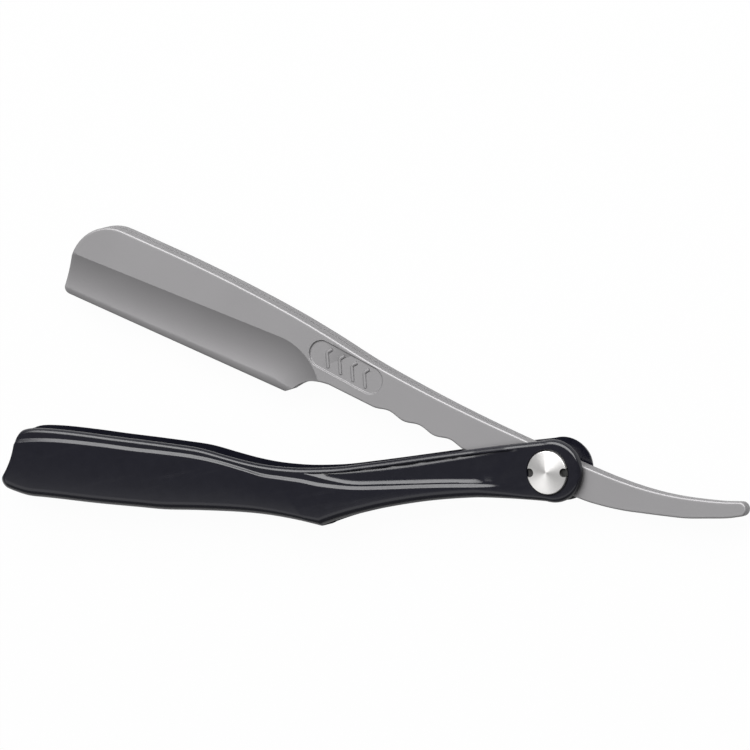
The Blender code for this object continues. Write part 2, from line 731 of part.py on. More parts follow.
def head_profile():
    """A screw head's face, from its centre out over the turned cone and down its rim."""
    return [
        (0, HEAD_TOP + SCREW_CONE_RISE), (SCREW_HEAD_RADIUS - SCREW_RIM_ROUND, HEAD_TOP),
        (SCREW_HEAD_RADIUS, HEAD_TOP - SCREW_RIM_ROUND), (SCREW_HEAD_RADIUS, HEAD_LOW),
    ]


def make_pivot_screw(parts, cutters):
    """The front screw: notched head and plain shank, which threads into the nut's barrel."""
    tip = HEAD_LOW - SCREW_SHANK_LENGTH
    screw = turned("pivot_screw", [
        *head_profile(), (SCREW_SHANK_RADIUS, HEAD_LOW), (SCREW_SHANK_RADIUS, tip), (0, tip)], parts)
    return cut_notches(screw, 1, cutters)


def make_pivot_nut(parts, cutters):
    """The back nut: the same notched head with a bored barrel that reaches into the front ear."""
    barrel_top = -(HEAD_SEAT - SEAT_CLEARANCE)
    bore = SCREW_SHANK_RADIUS + SEAT_CLEARANCE
    bore_floor = -(HEAD_LOW - SCREW_SHANK_LENGTH - SEAT_CLEARANCE)
    profile = [*head_profile(), (BARREL_RADIUS, HEAD_LOW), (BARREL_RADIUS, barrel_top), (bore, barrel_top),
               (bore, bore_floor), (0, bore_floor)]
    nut = turned("pivot_nut", profile, parts)
    nut.data = flipped(nut.data)
    return cut_notches(nut, -1, cutters)


def flipped(mesh):
    """A mesh turned over about X."""
    mesh.transform(Matrix.Rotation(math.pi, 4, "X"))
    return mesh


def handle_lines():
    """The handle's top line and its two bottom lines, which meet at the keel."""
    top_reach = HANDLE_REACH - END_LEAN
    top = [(-top_reach * along, HANDLE_DEPTH * rise) for along, rise in HANDLE_TOP_SHARES]
    bottom = [(-HANDLE_REACH * along, HANDLE_DEPTH * rise) for along, rise in HANDLE_BOTTOM_SHARES]
    leg = [(-HANDLE_REACH * along, HANDLE_DEPTH * rise) for along, rise in LEG_BOTTOM_SHARES]
    return smooth_points(top), smooth_points(bottom), smooth_points(leg)


def handle_half_at(x):
    """Half the handle's thickness at x: level as far as the waist, drawn in evenly to the ears."""
    return height_at([(-WAIST_REACH, HANDLE_HALF), (EAR_FORWARD - EAR_RADIUS, EAR_OUTER)], x)


def ledge_step_at(x):
    """How far the ledge over the shoulder stands back at x: it fades out at both ends."""
    return height_at([
        (-HANDLE_REACH, 0), (-HANDLE_REACH + LEDGE_FADE_IN, LEDGE_STEP),
        (-LEDGE_FADE_START, LEDGE_STEP), (-LEDGE_FADE_END, 0),
    ], x)


def edge_round_at(x, along_legs):
    """The rounding of an edge at x: as given along the legs, the ears' own at the ears."""
    return height_at([(-LEDGE_FADE_START, along_legs), (EAR_FORWARD - EAR_RADIUS, EAR_ROUND)], x)


def crossing_share(low, high, line):
    """How far along a section, from its bottom to its top point, it crosses a line of points."""
    below, above = 0, 1
    for _ in range(CROSSING_TRIES):
        share = (below + above) / 2
        point = low.lerp(high, share)
        if point.y < height_at(line, point.x):
            below = share
        else:
            above = share
    return below


def handle_side(low, high, half, shoulder):
    """One side of a section, top to bottom: (share of the way up, half thickness) of each point."""
    rise = high.y - low.y
    ledge = ledge_step_at(high.x)
    top_round = min(edge_round_at(high.x, LEDGE_ROUND), rise * EDGE_ROUND_SHARE)
    low_round = min(edge_round_at(low.x, HANDLE_EDGE_ROUND), rise * EDGE_ROUND_SHARE)
    width = min(SHOULDER_WIDTH, rise * SHOULDER_WIDTH_SHARE)
    gap = min(LEDGE_GAP, rise * LEDGE_GAP_SHARE)
    foot = rise * crossing_share(low, high, shoulder)
    foot = max(low_round + width + gap, min(foot, rise - top_round - gap))
    quarter = math.pi / 2
    side = []
    for step in range(CORNER_STEPS + 1):
        turn = quarter * step / CORNER_STEPS
        side.append((rise - top_round * (1 - math.cos(turn)), half - ledge - top_round * (1 - math.sin(turn))))
    for step in range(SHOULDER_STEPS + 1):
        turn = quarter * step / SHOULDER_STEPS
        side.append((foot - width * (1 - math.cos(turn)), half - ledge * (1 - math.sin(turn))))
    for step in range(CORNER_STEPS + 1):
        turn = quarter * step / CORNER_STEPS
        side.append((low_round * (1 - math.sin(turn)), half - low_round * (1 - math.cos(turn))))
    return [(height / rise, out) for height, out in side]


def handle_section(low, high, half, shoulder, shape):
    """One closed section of the handle, down its front and up its back."""
    low, high = Vector(low), Vector(high)
    side = handle_side(low, high, half, shoulder)
    ring = []
    for share, out in [*side, *((share, -out) for share, out in reversed(side))]:
        point = low.lerp(high, share)
        ring.append(shape.verts.new((point.x, point.y, out)))
    return ring


def handle_stations():
    """Bottom point, top point and half thickness of every section of the handle, end to ears."""
    top, bottom, leg = handle_lines()
    top_reach = HANDLE_REACH - END_LEAN
    sections = []
    for step in range(END_STEPS):
        turn = math.pi / 2 * step / END_STEPS
        along = HANDLE_EDGE_ROUND * (1 - math.cos(turn))
        inset = HANDLE_EDGE_ROUND * END_ROUND_SHARE * (1 - math.sin(turn))
        x_low, x_high = -HANDLE_REACH + along, -top_reach + along
        sections.append(((x_low, height_at(bottom, x_low) + inset), (x_high, height_at(top, x_high) - inset),
                         HANDLE_HALF - inset))
    start = (-HANDLE_REACH + HANDLE_EDGE_ROUND, -top_reach + HANDLE_EDGE_ROUND)
    waist = (-WAIST_REACH + WAIST_LEAN / 2, -WAIST_REACH - WAIST_LEAN / 2)
    keel = (-KEEL_REACH, -KEEL_REACH)
    places = [start]
    for (low_from, high_from), (low_to, high_to), steps in ((start, waist, BROAD_STEPS),
                                                            (waist, keel, WAIST_STEPS)):
        for step in range(1, steps + 1):
            share = step / steps
            places.append((low_from + (low_to - low_from) * share, high_from + (high_to - high_from) * share))
    for x_low, x_high in places:
        sections.append(((x_low, height_at(bottom, x_low)), (x_high, height_at(top, x_high)),
                         handle_half_at((x_low + x_high) / 2)))
    for step in range(1, LEG_STEPS + 1):
        x = -KEEL_REACH + (KEEL_REACH + EAR_FORWARD) * step / LEG_STEPS
        low, high = height_at(leg, x), height_at(top, x)
        if x > EAR_FORWARD - EAR_RADIUS:
            reach = math.sqrt(EAR_RADIUS ** 2 - (x - EAR_FORWARD) ** 2)
            low, high = min(low, EAR_UP - reach), max(high, EAR_UP + reach)
        sections.append(((x, low), (x, high), handle_half_at(x)))
    for step in range(1, EAR_STEPS):
        turn = math.pi / 2 * step / EAR_STEPS
        x = EAR_FORWARD + EAR_RADIUS * math.sin(turn)
        reach = EAR_RADIUS * math.cos(turn)
        past = max(0, EAR_RADIUS * math.sin(turn) - (EAR_RADIUS - EAR_ROUND))
        shrink = EAR_ROUND - math.sqrt(EAR_ROUND ** 2 - past ** 2)
        sections.append(((x, EAR_UP - reach), (x, EAR_UP + reach), EAR_OUTER - shrink))
    return sections


def handle_loft(parts):
    """The handle's outer form, lofted through its sections."""
    shoulder = smooth_points([(-HANDLE_REACH * along, HANDLE_DEPTH * rise) for along, rise in SHOULDER_SHARES])
    shape = bmesh.new()
    rings = [handle_section(low, high, half, shoulder, shape) for low, high, half in handle_stations()]
    count = len(rings[0])
    for ring, following in zip(rings, rings[1:]):
        for index in range(count):
            after = (index + 1) % count
            shape.faces.new((ring[index], ring[after], following[after], following[index]))
    shape.faces.new(rings[0])
    shape.faces.new(list(reversed(rings[-1])))
    return object_from_bmesh("handle", shape, parts)


def channel_cutter(cutters):
    """The room inside the handle: a channel with a floor, then an open slot between two legs."""
    top, bottom, _ = handle_lines()
    left = -HANDLE_REACH + CHANNEL_END_WALL + END_LEAN
    above = HANDLE_DEPTH
    right = EAR_FORWARD + EAR_RADIUS + OVERRUN
    floor_end = -KEEL_REACH + CHANNEL_FLOOR
    floor = []
    for step in range(FLOOR_STEPS + 1):
        x = left + (-KEEL_REACH - left) * step / FLOOR_STEPS
        floor.append((x, height_at(bottom, x) + CHANNEL_FLOOR))
    points = [(left - CHANNEL_END_LEAN, above), *floor, (floor_end, -above), (right, -above), (right, above)]
    cutter = outline_solid("channel_cut", points, -CHANNEL_HALF, CHANNEL_HALF, cutters)
    ear_start = EAR_FORWARD - EAR_RADIUS
    split_at(cutter, [-WAIST_REACH, ear_start])
    taper(cutter, lambda x: height_at([(-WAIST_REACH, CHANNEL_HALF), (ear_start, EAR_INNER)], x), CHANNEL_HALF)
    return cutter


def end_scoop_cutter(cutters):
    """A wide drum that hollows the handle's broad end."""
    top, bottom, _ = handle_lines()
    inset = Vector((0, HANDLE_EDGE_ROUND * END_ROUND_SHARE))
    low = Vector(bottom[0]) + inset
    high = Vector(top[0]) - inset
    chord = high - low
    radius = (chord.length ** 2 / 4 + END_SCOOP ** 2) / (2 * END_SCOOP)
    middle = (low + high) / 2
    outward = Vector((-chord.y, chord.x)).normalized()
    centre = middle + outward * (radius - END_SCOOP)
    deep = HANDLE_HALF + OVERRUN
    return cylinder("end_scoop_cut", radius, -deep, deep, cutters, tuple(centre), ROUND_SIDES * 4)


def flute_cutter(cutters):
    """A shallow long panel sunk into one leg's ledge, with its floor along the leg's taper."""
    points = smooth_points([(-FLUTE_REACH * along, HANDLE_DEPTH * rise)
                            for along, rise in [*FLUTE_SHARES, FLUTE_SHARES[0]]])[:-1]
    return sunk_cutter("front_flute_cut", points, [-LEDGE_FADE_START, -LEDGE_FADE_END],
                       lambda x: handle_half_at(x) - ledge_step_at(x) - FLUTE_DEPTH, HANDLE_HALF + OVERRUN,
                       cutters)


def make_handle(parts, cutters):
    """The moulded handle: broad channel, keel, two fluted legs and the ears."""
    handle = handle_loft(parts)
    boolean(handle, end_scoop_cutter(cutters))
    flute = flute_cutter(cutters)
    boolean(handle, flute)
    boolean(handle, mirrored(flute, "back_flute_cut", cutters))
    boolean(handle, channel_cutter(cutters))
    boolean(handle, cylinder("pivot_bore", BARREL_RADIUS + PIVOT_CLEARANCE, -HANDLE_HALF - OVERRUN,
                             HANDLE_HALF + OVERRUN, cutters, sides=SMALL_ROUND_SIDES * 2))
    recess = SCREW_HEAD_RADIUS + COUNTERBORE_CLEARANCE
    front = cylinder("front_counterbore", recess, HEAD_SEAT, EAR_OUTER + OVERRUN, cutters)
    boolean(handle, front)
    boolean(handle, mirrored(front, "back_counterbore", cutters))
    return handle


def dress(obj, finish, carrier):
    """Give a piece its finish and its carrier, and shade its round parts smooth."""
    obj.data.materials.clear()
    obj.data.materials.append(finish)
    obj.data.shade_smooth()
    obj.data.set_sharp_from_angle(angle=math.radians(35))
    obj.parent = carrier


def centre_on_floor(carriers, pieces):
    """Move the carriers so that the razor's box stands on the floor, centred on the origin."""
    bpy.context.view_layer.update()
    corners = [piece.matrix_world @ vertex.co for piece in pieces for vertex in piece.data.vertices]
    low = Vector(min(corner[axis] for corner in corners) for axis in range(3))
    high = Vector(max(corner[axis] for corner in corners) for axis in range(3))
    shift = Vector(((low.x + high.x) / 2, (low.y + high.y) / 2, low.z))
    for carrier in carriers:
        carrier.location = carrier.location - shift
    bpy.context.view_layer.update()
    print("pivot at", [round(value, 6) for value in carriers[0].location])


def build():
    """Model every piece and place the two bodies at rest."""
    clear_scene()
    parts = make_collection("replaceable_blade_straight_razor")
    cutters = make_collection("cutters")
    finishes = {name: make_finish(name) for name in FINISHES}
    handle_frame = make_empty("handle_frame", parts)
    holder_pivot = make_empty("holder_pivot", parts)
    holder_pivot.rotation_euler = (0, 0, -OPEN_ANGLE)

    fixed = [
        (make_handle(parts, cutters), "black_resin"),
        (make_pivot_screw(parts, cutters), "turned_steel"),
        (make_pivot_nut(parts, cutters), "turned_steel"),
        (make_washer("friction_washer_front", WASHER_LOW, parts), "white_nylon"),
        (make_washer("friction_washer_back", -WASHER_LOW - WASHER_THICKNESS, parts), "white_nylon"),
    ]
    front, back = make_holder_halves(parts, cutters)
    moving = [
        (front, "blasted_steel"),
        (back, "blasted_steel"),
        (make_bush(parts), "brass"),
        *fit_inner_pieces(front, back, parts, cutters),
    ]
    for cutter in cutters.objects:
        cutter.hide_render = True
        cutter.display_type = "WIRE"
    for pieces, carrier in ((fixed, handle_frame), (moving, holder_pivot)):
        for obj, finish in pieces:
            dress(obj, finishes[finish], carrier)
    centre_on_floor([handle_frame, holder_pivot], [obj for obj, _ in [*fixed, *moving]])


build()
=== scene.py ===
"""Dressing and stage for a replaceable blade straight razor.

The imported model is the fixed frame: fine shells of the same forms take the place of its handle,
holder halves and pivot heads, raised ribs are added in the thumb ovals, and every piece gets a
procedural finish. Lengths are in metres and angles in radians unless a name says otherwise.
"""

import math

import bmesh
import bpy
import numpy as np
from bpy.props import FloatProperty, FloatVectorProperty, IntProperty, PointerProperty
from mathutils import Matrix, Vector
from mathutils.geometry import delaunay_2d_cdt


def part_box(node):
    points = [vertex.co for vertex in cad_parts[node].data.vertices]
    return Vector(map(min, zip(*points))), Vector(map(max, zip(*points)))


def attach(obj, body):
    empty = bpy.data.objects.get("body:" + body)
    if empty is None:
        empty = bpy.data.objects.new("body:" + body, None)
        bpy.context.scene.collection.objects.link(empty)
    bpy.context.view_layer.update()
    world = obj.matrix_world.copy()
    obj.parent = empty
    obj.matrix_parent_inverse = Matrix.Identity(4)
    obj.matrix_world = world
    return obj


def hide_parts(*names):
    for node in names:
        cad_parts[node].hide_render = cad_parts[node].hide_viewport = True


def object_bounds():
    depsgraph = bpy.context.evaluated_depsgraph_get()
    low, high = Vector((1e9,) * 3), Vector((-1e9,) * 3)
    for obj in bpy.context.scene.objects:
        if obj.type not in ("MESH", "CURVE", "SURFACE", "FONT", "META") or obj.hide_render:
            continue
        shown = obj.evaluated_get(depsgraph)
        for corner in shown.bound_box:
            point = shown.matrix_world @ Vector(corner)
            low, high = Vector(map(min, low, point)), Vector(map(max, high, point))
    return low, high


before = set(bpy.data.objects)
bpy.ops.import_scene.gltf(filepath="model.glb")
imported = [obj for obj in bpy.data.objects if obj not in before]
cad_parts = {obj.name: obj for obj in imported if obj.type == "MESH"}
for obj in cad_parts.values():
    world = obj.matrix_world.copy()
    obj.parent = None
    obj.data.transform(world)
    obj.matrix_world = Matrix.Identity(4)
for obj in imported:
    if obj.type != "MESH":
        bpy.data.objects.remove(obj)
CAD_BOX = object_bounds()

bl_info = {
    "name": "Straight razor dressing",
    "version": (1, 0, 0),
    "blender": (4, 5, 0),
    "location": "3D View > Sidebar > Razor",
    "description": "Fine shells, finishes and a plain stage for a replaceable blade straight razor",
    "category": "Object",
}

# Where the pivot is in the frame
SCREW_LOW, SCREW_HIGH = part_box("pivot_screw")
NUT_LOW, NUT_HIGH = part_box("pivot_nut")
PIVOT = Vector(((SCREW_LOW.x + SCREW_HIGH.x) / 2, (SCREW_LOW.y + SCREW_HIGH.y) / 2,
                (NUT_LOW.z + SCREW_HIGH.z) / 2))

# Holder, as in the part's source
OPEN_ANGLE = math.radians(22.6)
TOE_REACH = 0.1043
HEEL_REACH = 0.0559
TAIL_REACH = 0.0397
MOUTH_DROP = 0.0073
SPINE_RISE = 0.0084
TANG_RISE = 0.0034
BELLY_DROP = 0.0024
BELLY_LEAN = 0.0004
HOLDER_HALF = 0.0023
TANG_HALF = 0.0015
TAIL_HALF = 0.0010
HOLDER_EDGE_ROUND = 0.00035
TOE_ROUND = 0.0083
TOE_CORNER_ROUND = 0.0013
TOE_LEAN = 0.0001
TOE_LOW_SWEEP = math.radians(86)
TOE_HIGH_SWEEP = math.radians(84)
TAPER_START = 0.0500
TAPER_END = 0.0080
HOLLOW_RADIUS = 0.0174
HOLLOW_LOW_RISE = 0.0031
HOLLOW_HALF_THICKNESS = 0.0010
LIP_HEIGHT = 0.0026
LIP_CROWN_HALF = 0.00112
LIP_HALF_THICKNESS = 0.00045
RUNOUT_START = 0.0590
RUNOUT_DROP = 0.0022
RUNOUT_SWEEP = math.radians(100)
HOLLOW_LEAN = math.radians(2.2)
SCALLOP_PITCH = 0.0066
SCALLOP_DEPTH = 0.0006
SCALLOP_COUNT = 3
SCALLOP_START = 0.0178
THUMB_LENGTH = 0.0160
THUMB_WIDTH = 0.0053
THUMB_DEPTH = 0.0003
THUMB_WALL = 0.00026
THUMB_REACH = 0.0451
THUMB_RISE = 0.0022
THUMB_LEAN = math.radians(4.5)
THUMB_HALF_RUN = (THUMB_LENGTH - THUMB_WIDTH) / 2
SLOT_HALF = 0.00015
STEP_RADIUS = 0.00445
BOSS_RADIUS = 0.0043
BOSS_HALF = 0.0016
HUB_BORE = 0.0025
LIP_SOFTENING = 0.00008

# What is pocketed inside the holder
STOP_PIN_SETBACK = 0.0062
STOP_PIN_DROP = 0.0016
STOP_PIN_HOLE = 0.00065
STOP_PIN_HOLE_HALF = 0.0008
RIVET_RADIUS = 0.0009
RIVET_HOLE = 0.00105
RIVET_HOLE_HALF = 0.0011
# The room for each pin, dowel and rivet: reach, rise, radius and half depth
PIN_HOLES = [
    (TOE_REACH - STOP_PIN_SETBACK, -STOP_PIN_DROP, STOP_PIN_HOLE, STOP_PIN_HOLE_HALF),
    (HEEL_REACH + STOP_PIN_SETBACK, -STOP_PIN_DROP, STOP_PIN_HOLE, STOP_PIN_HOLE_HALF),
    (TOE_REACH - STOP_PIN_SETBACK, SPINE_RISE * 0.60, RIVET_HOLE, RIVET_HOLE_HALF),
    (HEEL_REACH * 0.537, TANG_RISE * 0.235, RIVET_HOLE, RIVET_HOLE_HALF),
    (HEEL_REACH * 0.233, TANG_RISE * 0.118, RIVET_HOLE, RIVET_HOLE_HALF),
]

# The springs share the mouth's length with a gap at the heel and one between them
MOUTH_LENGTH = TOE_REACH - HEEL_REACH
SPRING_START_SHARE = 0.10
SPRING_GAP_SHARE = 0.05
SPRING_START = HEEL_REACH + MOUTH_LENGTH * SPRING_START_SHARE
SPRING_DOWEL_WALL = 0.0011
SPRING_END = TOE_REACH - STOP_PIN_SETBACK - RIVET_RADIUS - SPRING_DOWEL_WALL
SPRING_LENGTH = (SPRING_END - SPRING_START - MOUTH_LENGTH * SPRING_GAP_SHARE) / 2
SPRING_REACHES = (SPRING_END - SPRING_LENGTH / 2, SPRING_START + SPRING_LENGTH / 2)
SPRING_RISE = 0.0053
SPRING_POCKET_PLAY = 0.0006
SPRING_POCKET_WIDTH = 0.0023
SPRING_POCKET_HEIGHT = 0.00185
SPRING_POCKET = (SPRING_LENGTH + SPRING_POCKET_PLAY, SPRING_POCKET_WIDTH, SPRING_POCKET_HEIGHT)

# Pivot heads
BARREL_RADIUS = 0.0016
SCREW_SHANK_RADIUS = 0.0010
SCREW_SHANK_LENGTH = 0.0042
SCREW_HEAD_RADIUS = 0.0040
SCREW_HEAD_THICKNESS = 0.0007
SCREW_CONE_RISE = 0.00025
SCREW_RIM_ROUND = 0.00015
NOTCH_RADIUS = 0.00082
NOTCH_INSET = 0.0005
NOTCH_DEPTH = 0.00065
NOTCH_REACH = SCREW_HEAD_RADIUS - NOTCH_INSET

# Handle
HANDLE_REACH = 0.1130
HANDLE_DEPTH = 0.0137
END_LEAN = 0.0036
END_SCOOP = 0.0006
KEEL_REACH = 0.0471
EAR_RADIUS = 0.00585
EAR_FORWARD = 0.0009
EAR_UP = 0.0002
EAR_INNER = 0.00215
EAR_OUTER = 0.0032
EAR_ROUND = 0.0010
CHANNEL_HALF = 0.0026
CHANNEL_FLOOR = 0.0018
CHANNEL_END_WALL = 0.0026
CHANNEL_END_LEAN = 0.0012
HANDLE_HALF = 0.0039
HANDLE_EDGE_ROUND = 0.0017
WAIST_LEAN = 0.0080
WAIST_REACH = 0.0535
LEDGE_STEP = 0.00035
SHOULDER_WIDTH = 0.0008
SHOULDER_SOFTENING = 0.32
LEDGE_GAP = 0.0001
LEDGE_ROUND = 0.0009
LEDGE_FADE_IN = 0.0040
LEDGE_FADE_START = 0.0150
LEDGE_FADE_END = 0.0085
FLUTE_REACH = 0.0502
FLUTE_DEPTH = 0.0003
FLUTE_STEP = 0.00022
FLUTE_STEP_WIDTH = 0.0008
FLUTE_WALL = 0.0004
FLUTE_FADE = 0.0070
END_ROUND_SHARE = 0.45
EDGE_ROUND_SHARE = 0.33
SHOULDER_WIDTH_SHARE = 0.20
LEDGE_GAP_SHARE = 0.02
PIVOT_CLEARANCE = 0.00015
SEAT_CLEARANCE = 0.00015
COUNTERBORE_DEPTH = 0.0005
COUNTERBORE_CLEARANCE = 0.00025
COUNTERBORE_CHAMFER = 0.00012
HEAD_LOW = EAR_OUTER - COUNTERBORE_DEPTH + SEAT_CLEARANCE
HEAD_TOP = HEAD_LOW + SCREW_HEAD_THICKNESS
OVERRUN = 0.0020
MERGE_DISTANCE = 0.000002

# Outlines, as shares of the sizes that they follow
SPINE_SHARES = [
    (0.917, 1.000), (0.860, 1.000), (0.778, 0.995), (0.672, 0.950), (0.565, 0.860), (0.479, 0.740),
    (0.391, 0.590), (0.303, 0.500), (0.218, 0.441), (0.134, 0.411), (0.060, 0.405),
]
NOTCH_SHARES = [(0.975, 0.850), (0.948, 0.610), (0.916, 0.440), (0.882, 0.350), (0.846, 0.310)]
TAIL_TOP_SHARES = [
    (0.000, 1.00), (0.210, 1.04), (0.320, 1.09), (0.432, 1.20), (0.540, 1.38), (0.646, 1.64),
    (0.747, 1.97), (0.849, 2.35), (0.930, 2.72),
]
TAIL_BOTTOM_SHARES = [
    (0.960, 2.00), (0.898, 1.60), (0.802, 1.12), (0.703, 0.65), (0.602, 0.29), (0.497, -0.06),
    (0.396, -0.38), (0.289, -0.62), (0.180, -0.76), (0.000, -0.80),
]
HANDLE_TOP_SHARES = [
    (1.000, 0.460), (0.992, 0.535), (0.981, 0.576), (0.962, 0.592), (0.924, 0.579), (0.868, 0.534),
    (0.812, 0.479), (0.756, 0.429), (0.700, 0.375), (0.653, 0.322), (0.607, 0.228), (0.569, 0.153),
    (0.532, 0.098), (0.495, 0.067), (0.457, 0.054), (0.400, 0.067), (0.344, 0.114), (0.294, 0.161),
    (0.184, 0.270), (0.074, 0.372), (-0.012, 0.442),
]
HANDLE_BOTTOM_SHARES = [
    (1.000, -0.174), (0.989, -0.227), (0.965, -0.297), (0.946, -0.333), (0.922, -0.351),
    (0.888, -0.378), (0.841, -0.419), (0.801, -0.449), (0.750, -0.482), (0.701, -0.514),
    (0.641, -0.523), (0.568, -0.545), (0.513, -0.584), (0.459, -0.656), (0.4176, -0.733),
]
LEG_BOTTOM_SHARES = [
    (0.4176, -0.733), (0.405, -0.696), (0.377, -0.628), (0.349, -0.572), (0.294, -0.480),
    (0.220, -0.397), (0.147, -0.356), (0.092, -0.355), (0.038, -0.375), (-0.012, -0.408),
]
SHOULDER_SHARES = [
    (1.000, 0.420), (0.937, 0.465), (0.882, 0.456), (0.810, 0.401), (0.754, 0.345), (0.700, 0.300),
    (0.647, 0.250), (0.601, 0.178), (0.556, 0.079), (0.520, -0.004), (0.484, -0.045), (0.448, -0.083),
    (0.412, -0.137), (0.357, -0.179), (0.302, -0.177), (0.229, -0.158), (0.155, -0.149), (0.000, -0.149),
]
FLUTE_SHARES = [
    (1.000, -0.011), (0.802, 0.023), (0.596, 0.091), (0.388, 0.192), (0.130, 0.322), (0.116, 0.296),
    (0.206, -0.080), (0.258, -0.134), (0.435, -0.137), (0.600, -0.151), (0.784, -0.162), (0.885, -0.110),
    (0.959, -0.045),
]

# A grip rib's middle line, as shares of the thumb oval's width
RIB_SHARES = [(0.05, 0.33), (-0.09, 0.14), (0.16, -0.33)]
RIB_SIDES = 12

# The sunk panel's upper side, then its other sides: first and last row of the table above, and how
# wide the side slopes
FLUTE_TOP_ROWS = 4
FLUTE_SIDES = [(4, 7, 0.0024), (7, 13, 0.0009)]

# How finely round forms are divided
ARC_STEPS = 24
ROUND_SIDES = 128
CURVE_STEPS = 8
CORNER_STEPS = 8
SHOULDER_STEPS = 9
LEDGE_POINTS = 26
END_STEPS = 12
BROAD_STEPS = 110
WAIST_STEPS = 24
LEG_STEPS = 150
EAR_STEPS = 28
FLOOR_STEPS = 24
CROSSING_TRIES = 30
HOLLOW_LINES = 26
LIP_LINES = 9
ROUNDING_LINES = 8
LINES_BELOW_HOLLOW = 6
TAPER_LINE_STEPS = 80
THUMB_WALL_SHARES = (0, 0.2, 0.4, 0.6, 0.8, 1.0)
CONE_STEPS = 9
RIM_STEPS = 6
RIB_BEND_STEPS = 5
PIN_SIDES = 32
OUTLINE_SPACING = 0.0004
LINE_SPACING = 0.0012
LINE_CLEARANCE = 0.00005
TRIANGLE_TOLERANCE = 1e-7
INSET_KEPT_SHARE = 0.97
EVEN_INSETS = (0.0005, 0.0009)
SHARP_ANGLE = math.radians(24)
RIB_SHARP_ANGLE = math.radians(50)
HOLDER_SHARP_ANGLE = math.radians(20)

# The camera: what it looks at, seen from the pivot, and how it stands
VIEW_BACK = Vector((0.445, 0.1, 0.89)).normalized()
VIEW_WIDTH = 0.1377
VIEW_DISTANCE = 6.0
VIEW_LEFT = 0.03154
VIEW_UP = 0.01795
VIEW_RISE = 0.0034

# The camera's sensor in millimetres
SENSOR_WIDTH = 36.0

# The floor, and how white it looks to the camera and in reflections
FLOOR_HALF_WIDTH = 6.0
FLOOR_DIVISIONS = 8
FLOOR_GAP = 0.0002
FLOOR_ROUGHNESS = 0.9
FLOOR_SEEN = 0.97
FLOOR_MIRRORED = 0.08

# The lamps: name, direction and size of each, how far off they stand, and the point that they
# look at, seen from the pivot
LAMPS = [
    ("high_lamp", (0.096, 0.667, 0.738), (1.2, 0.66)),
    ("low_lamp", (-0.445, 0.861, 0.247), (1.2, 0.40)),
    ("front_lamp", (-0.445, -0.437, 0.782), (1.2, 0.40)),
]
LAMP_DISTANCE = 0.8
LAMP_AIM = Vector((-0.045, 0, 0))

# How far in the holder's edges are rubbed, and how far apart the rings of Blender's wave pattern
# stand at a scale of one
WEAR_REACH = 0.0006
WAVE_SPACING = 0.314159
SPRING_STEEL_COLOUR = (0.48, 0.49, 0.50)


def new_object(name, data):
    """An object for a mesh, lamp or camera, linked to the scene."""
    obj = bpy.data.objects.new(name, data)
    bpy.context.scene.collection.objects.link(obj)
    return obj


def drop(obj):
    """Take a helper object out of the file."""
    bpy.data.objects.remove(obj, do_unlink=True)


def face_outward(shape):
    """Point a closed bmesh's faces outwards."""
    bmesh.ops.recalc_face_normals(shape, faces=shape.faces)
    if shape.calc_volume(signed=True) < 0:
        bmesh.ops.reverse_faces(shape, faces=shape.faces)


def object_from_bmesh(name, shape):
    """An object from a closed bmesh, which is freed."""
    face_outward(shape)
    mesh = bpy.data.meshes.new(name)
    shape.to_mesh(mesh)
    shape.free()
    return new_object(name, mesh)


def point_outward(obj):
    """Point the faces of a finished closed mesh outwards."""
    shape = bmesh.new()
    shape.from_mesh(obj.data)
    face_outward(shape)
    shape.to_mesh(obj.data)
    shape.free()


def bake(obj):
    """Replace an object's mesh by what its modifiers make of it."""
    depsgraph = bpy.context.evaluated_depsgraph_get()
    mesh = bpy.data.meshes.new_from_object(obj.evaluated_get(depsgraph))
    obj.modifiers.clear()
    obj.data = mesh


def boolean(target, cutter, operation="DIFFERENCE"):
    """Cut, join or intersect a target with a cutter, which is then dropped."""
    modifier = target.modifiers.new(operation.lower(), "BOOLEAN")
    modifier.operation = operation
    modifier.solver = "MANIFOLD"
    modifier.object = cutter
    bake(target)
    drop(cutter)


def copy_of(obj, name):
    """A copy with its own mesh."""
    return new_object(name, obj.data.copy())


def mirrored(obj, name):
    """A copy of a piece on the other side of the plane of the blade."""
    shape = bmesh.new()
    shape.from_mesh(obj.data)
    bmesh.ops.scale(shape, verts=shape.verts, vec=(1, 1, -1))
    return object_from_bmesh(name, shape)


def smooth_points(points, steps=CURVE_STEPS):
    """Points on a curve that passes smoothly through the given ones."""
    ends = [points[0], *points, points[-1]]
    result = []
    for index in range(1, len(ends) - 2):
        before, start, finish, after = (Vector(ends[index + offset]) for offset in (-1, 0, 1, 2))
        for step in range(steps):
            t = step / steps
            result.append(tuple(
                0.5 * (2 * start[axis] + (finish[axis] - before[axis]) * t
                       + (2 * before[axis] - 5 * start[axis] + 4 * finish[axis] - after[axis]) * t ** 2
                       + (3 * start[axis] - before[axis] - 3 * finish[axis] + after[axis]) * t ** 3)
                for axis in (0, 1)))
    result.append(tuple(points[-1]))
    return result


def scaled(shares, reach, rise):
    """A table of shares as lengths, with reaches counted towards -X."""
    return [(-reach * along, rise * up) for along, up in shares]


def arc_points(centre, radius, start, finish, steps):
    """Points along an arc, both ends included."""
    return [
        (centre[0] + radius * math.cos(start + (finish - start) * step / steps),
         centre[1] + radius * math.sin(start + (finish - start) * step / steps))
        for step in range(steps + 1)
    ]


def height_at(points, x):
    """The height of a line of points where it passes x."""
    ordered = sorted(points)
    if x <= ordered[0][0]:
        return ordered[0][1]
    for (x_low, y_low), (x_high, y_high) in zip(ordered, ordered[1:]):
        if x_low <= x <= x_high:
            if x_high == x_low:
                return y_high
            return y_low + (y_high - y_low) * (x - x_low) / (x_high - x_low)
    return ordered[-1][1]


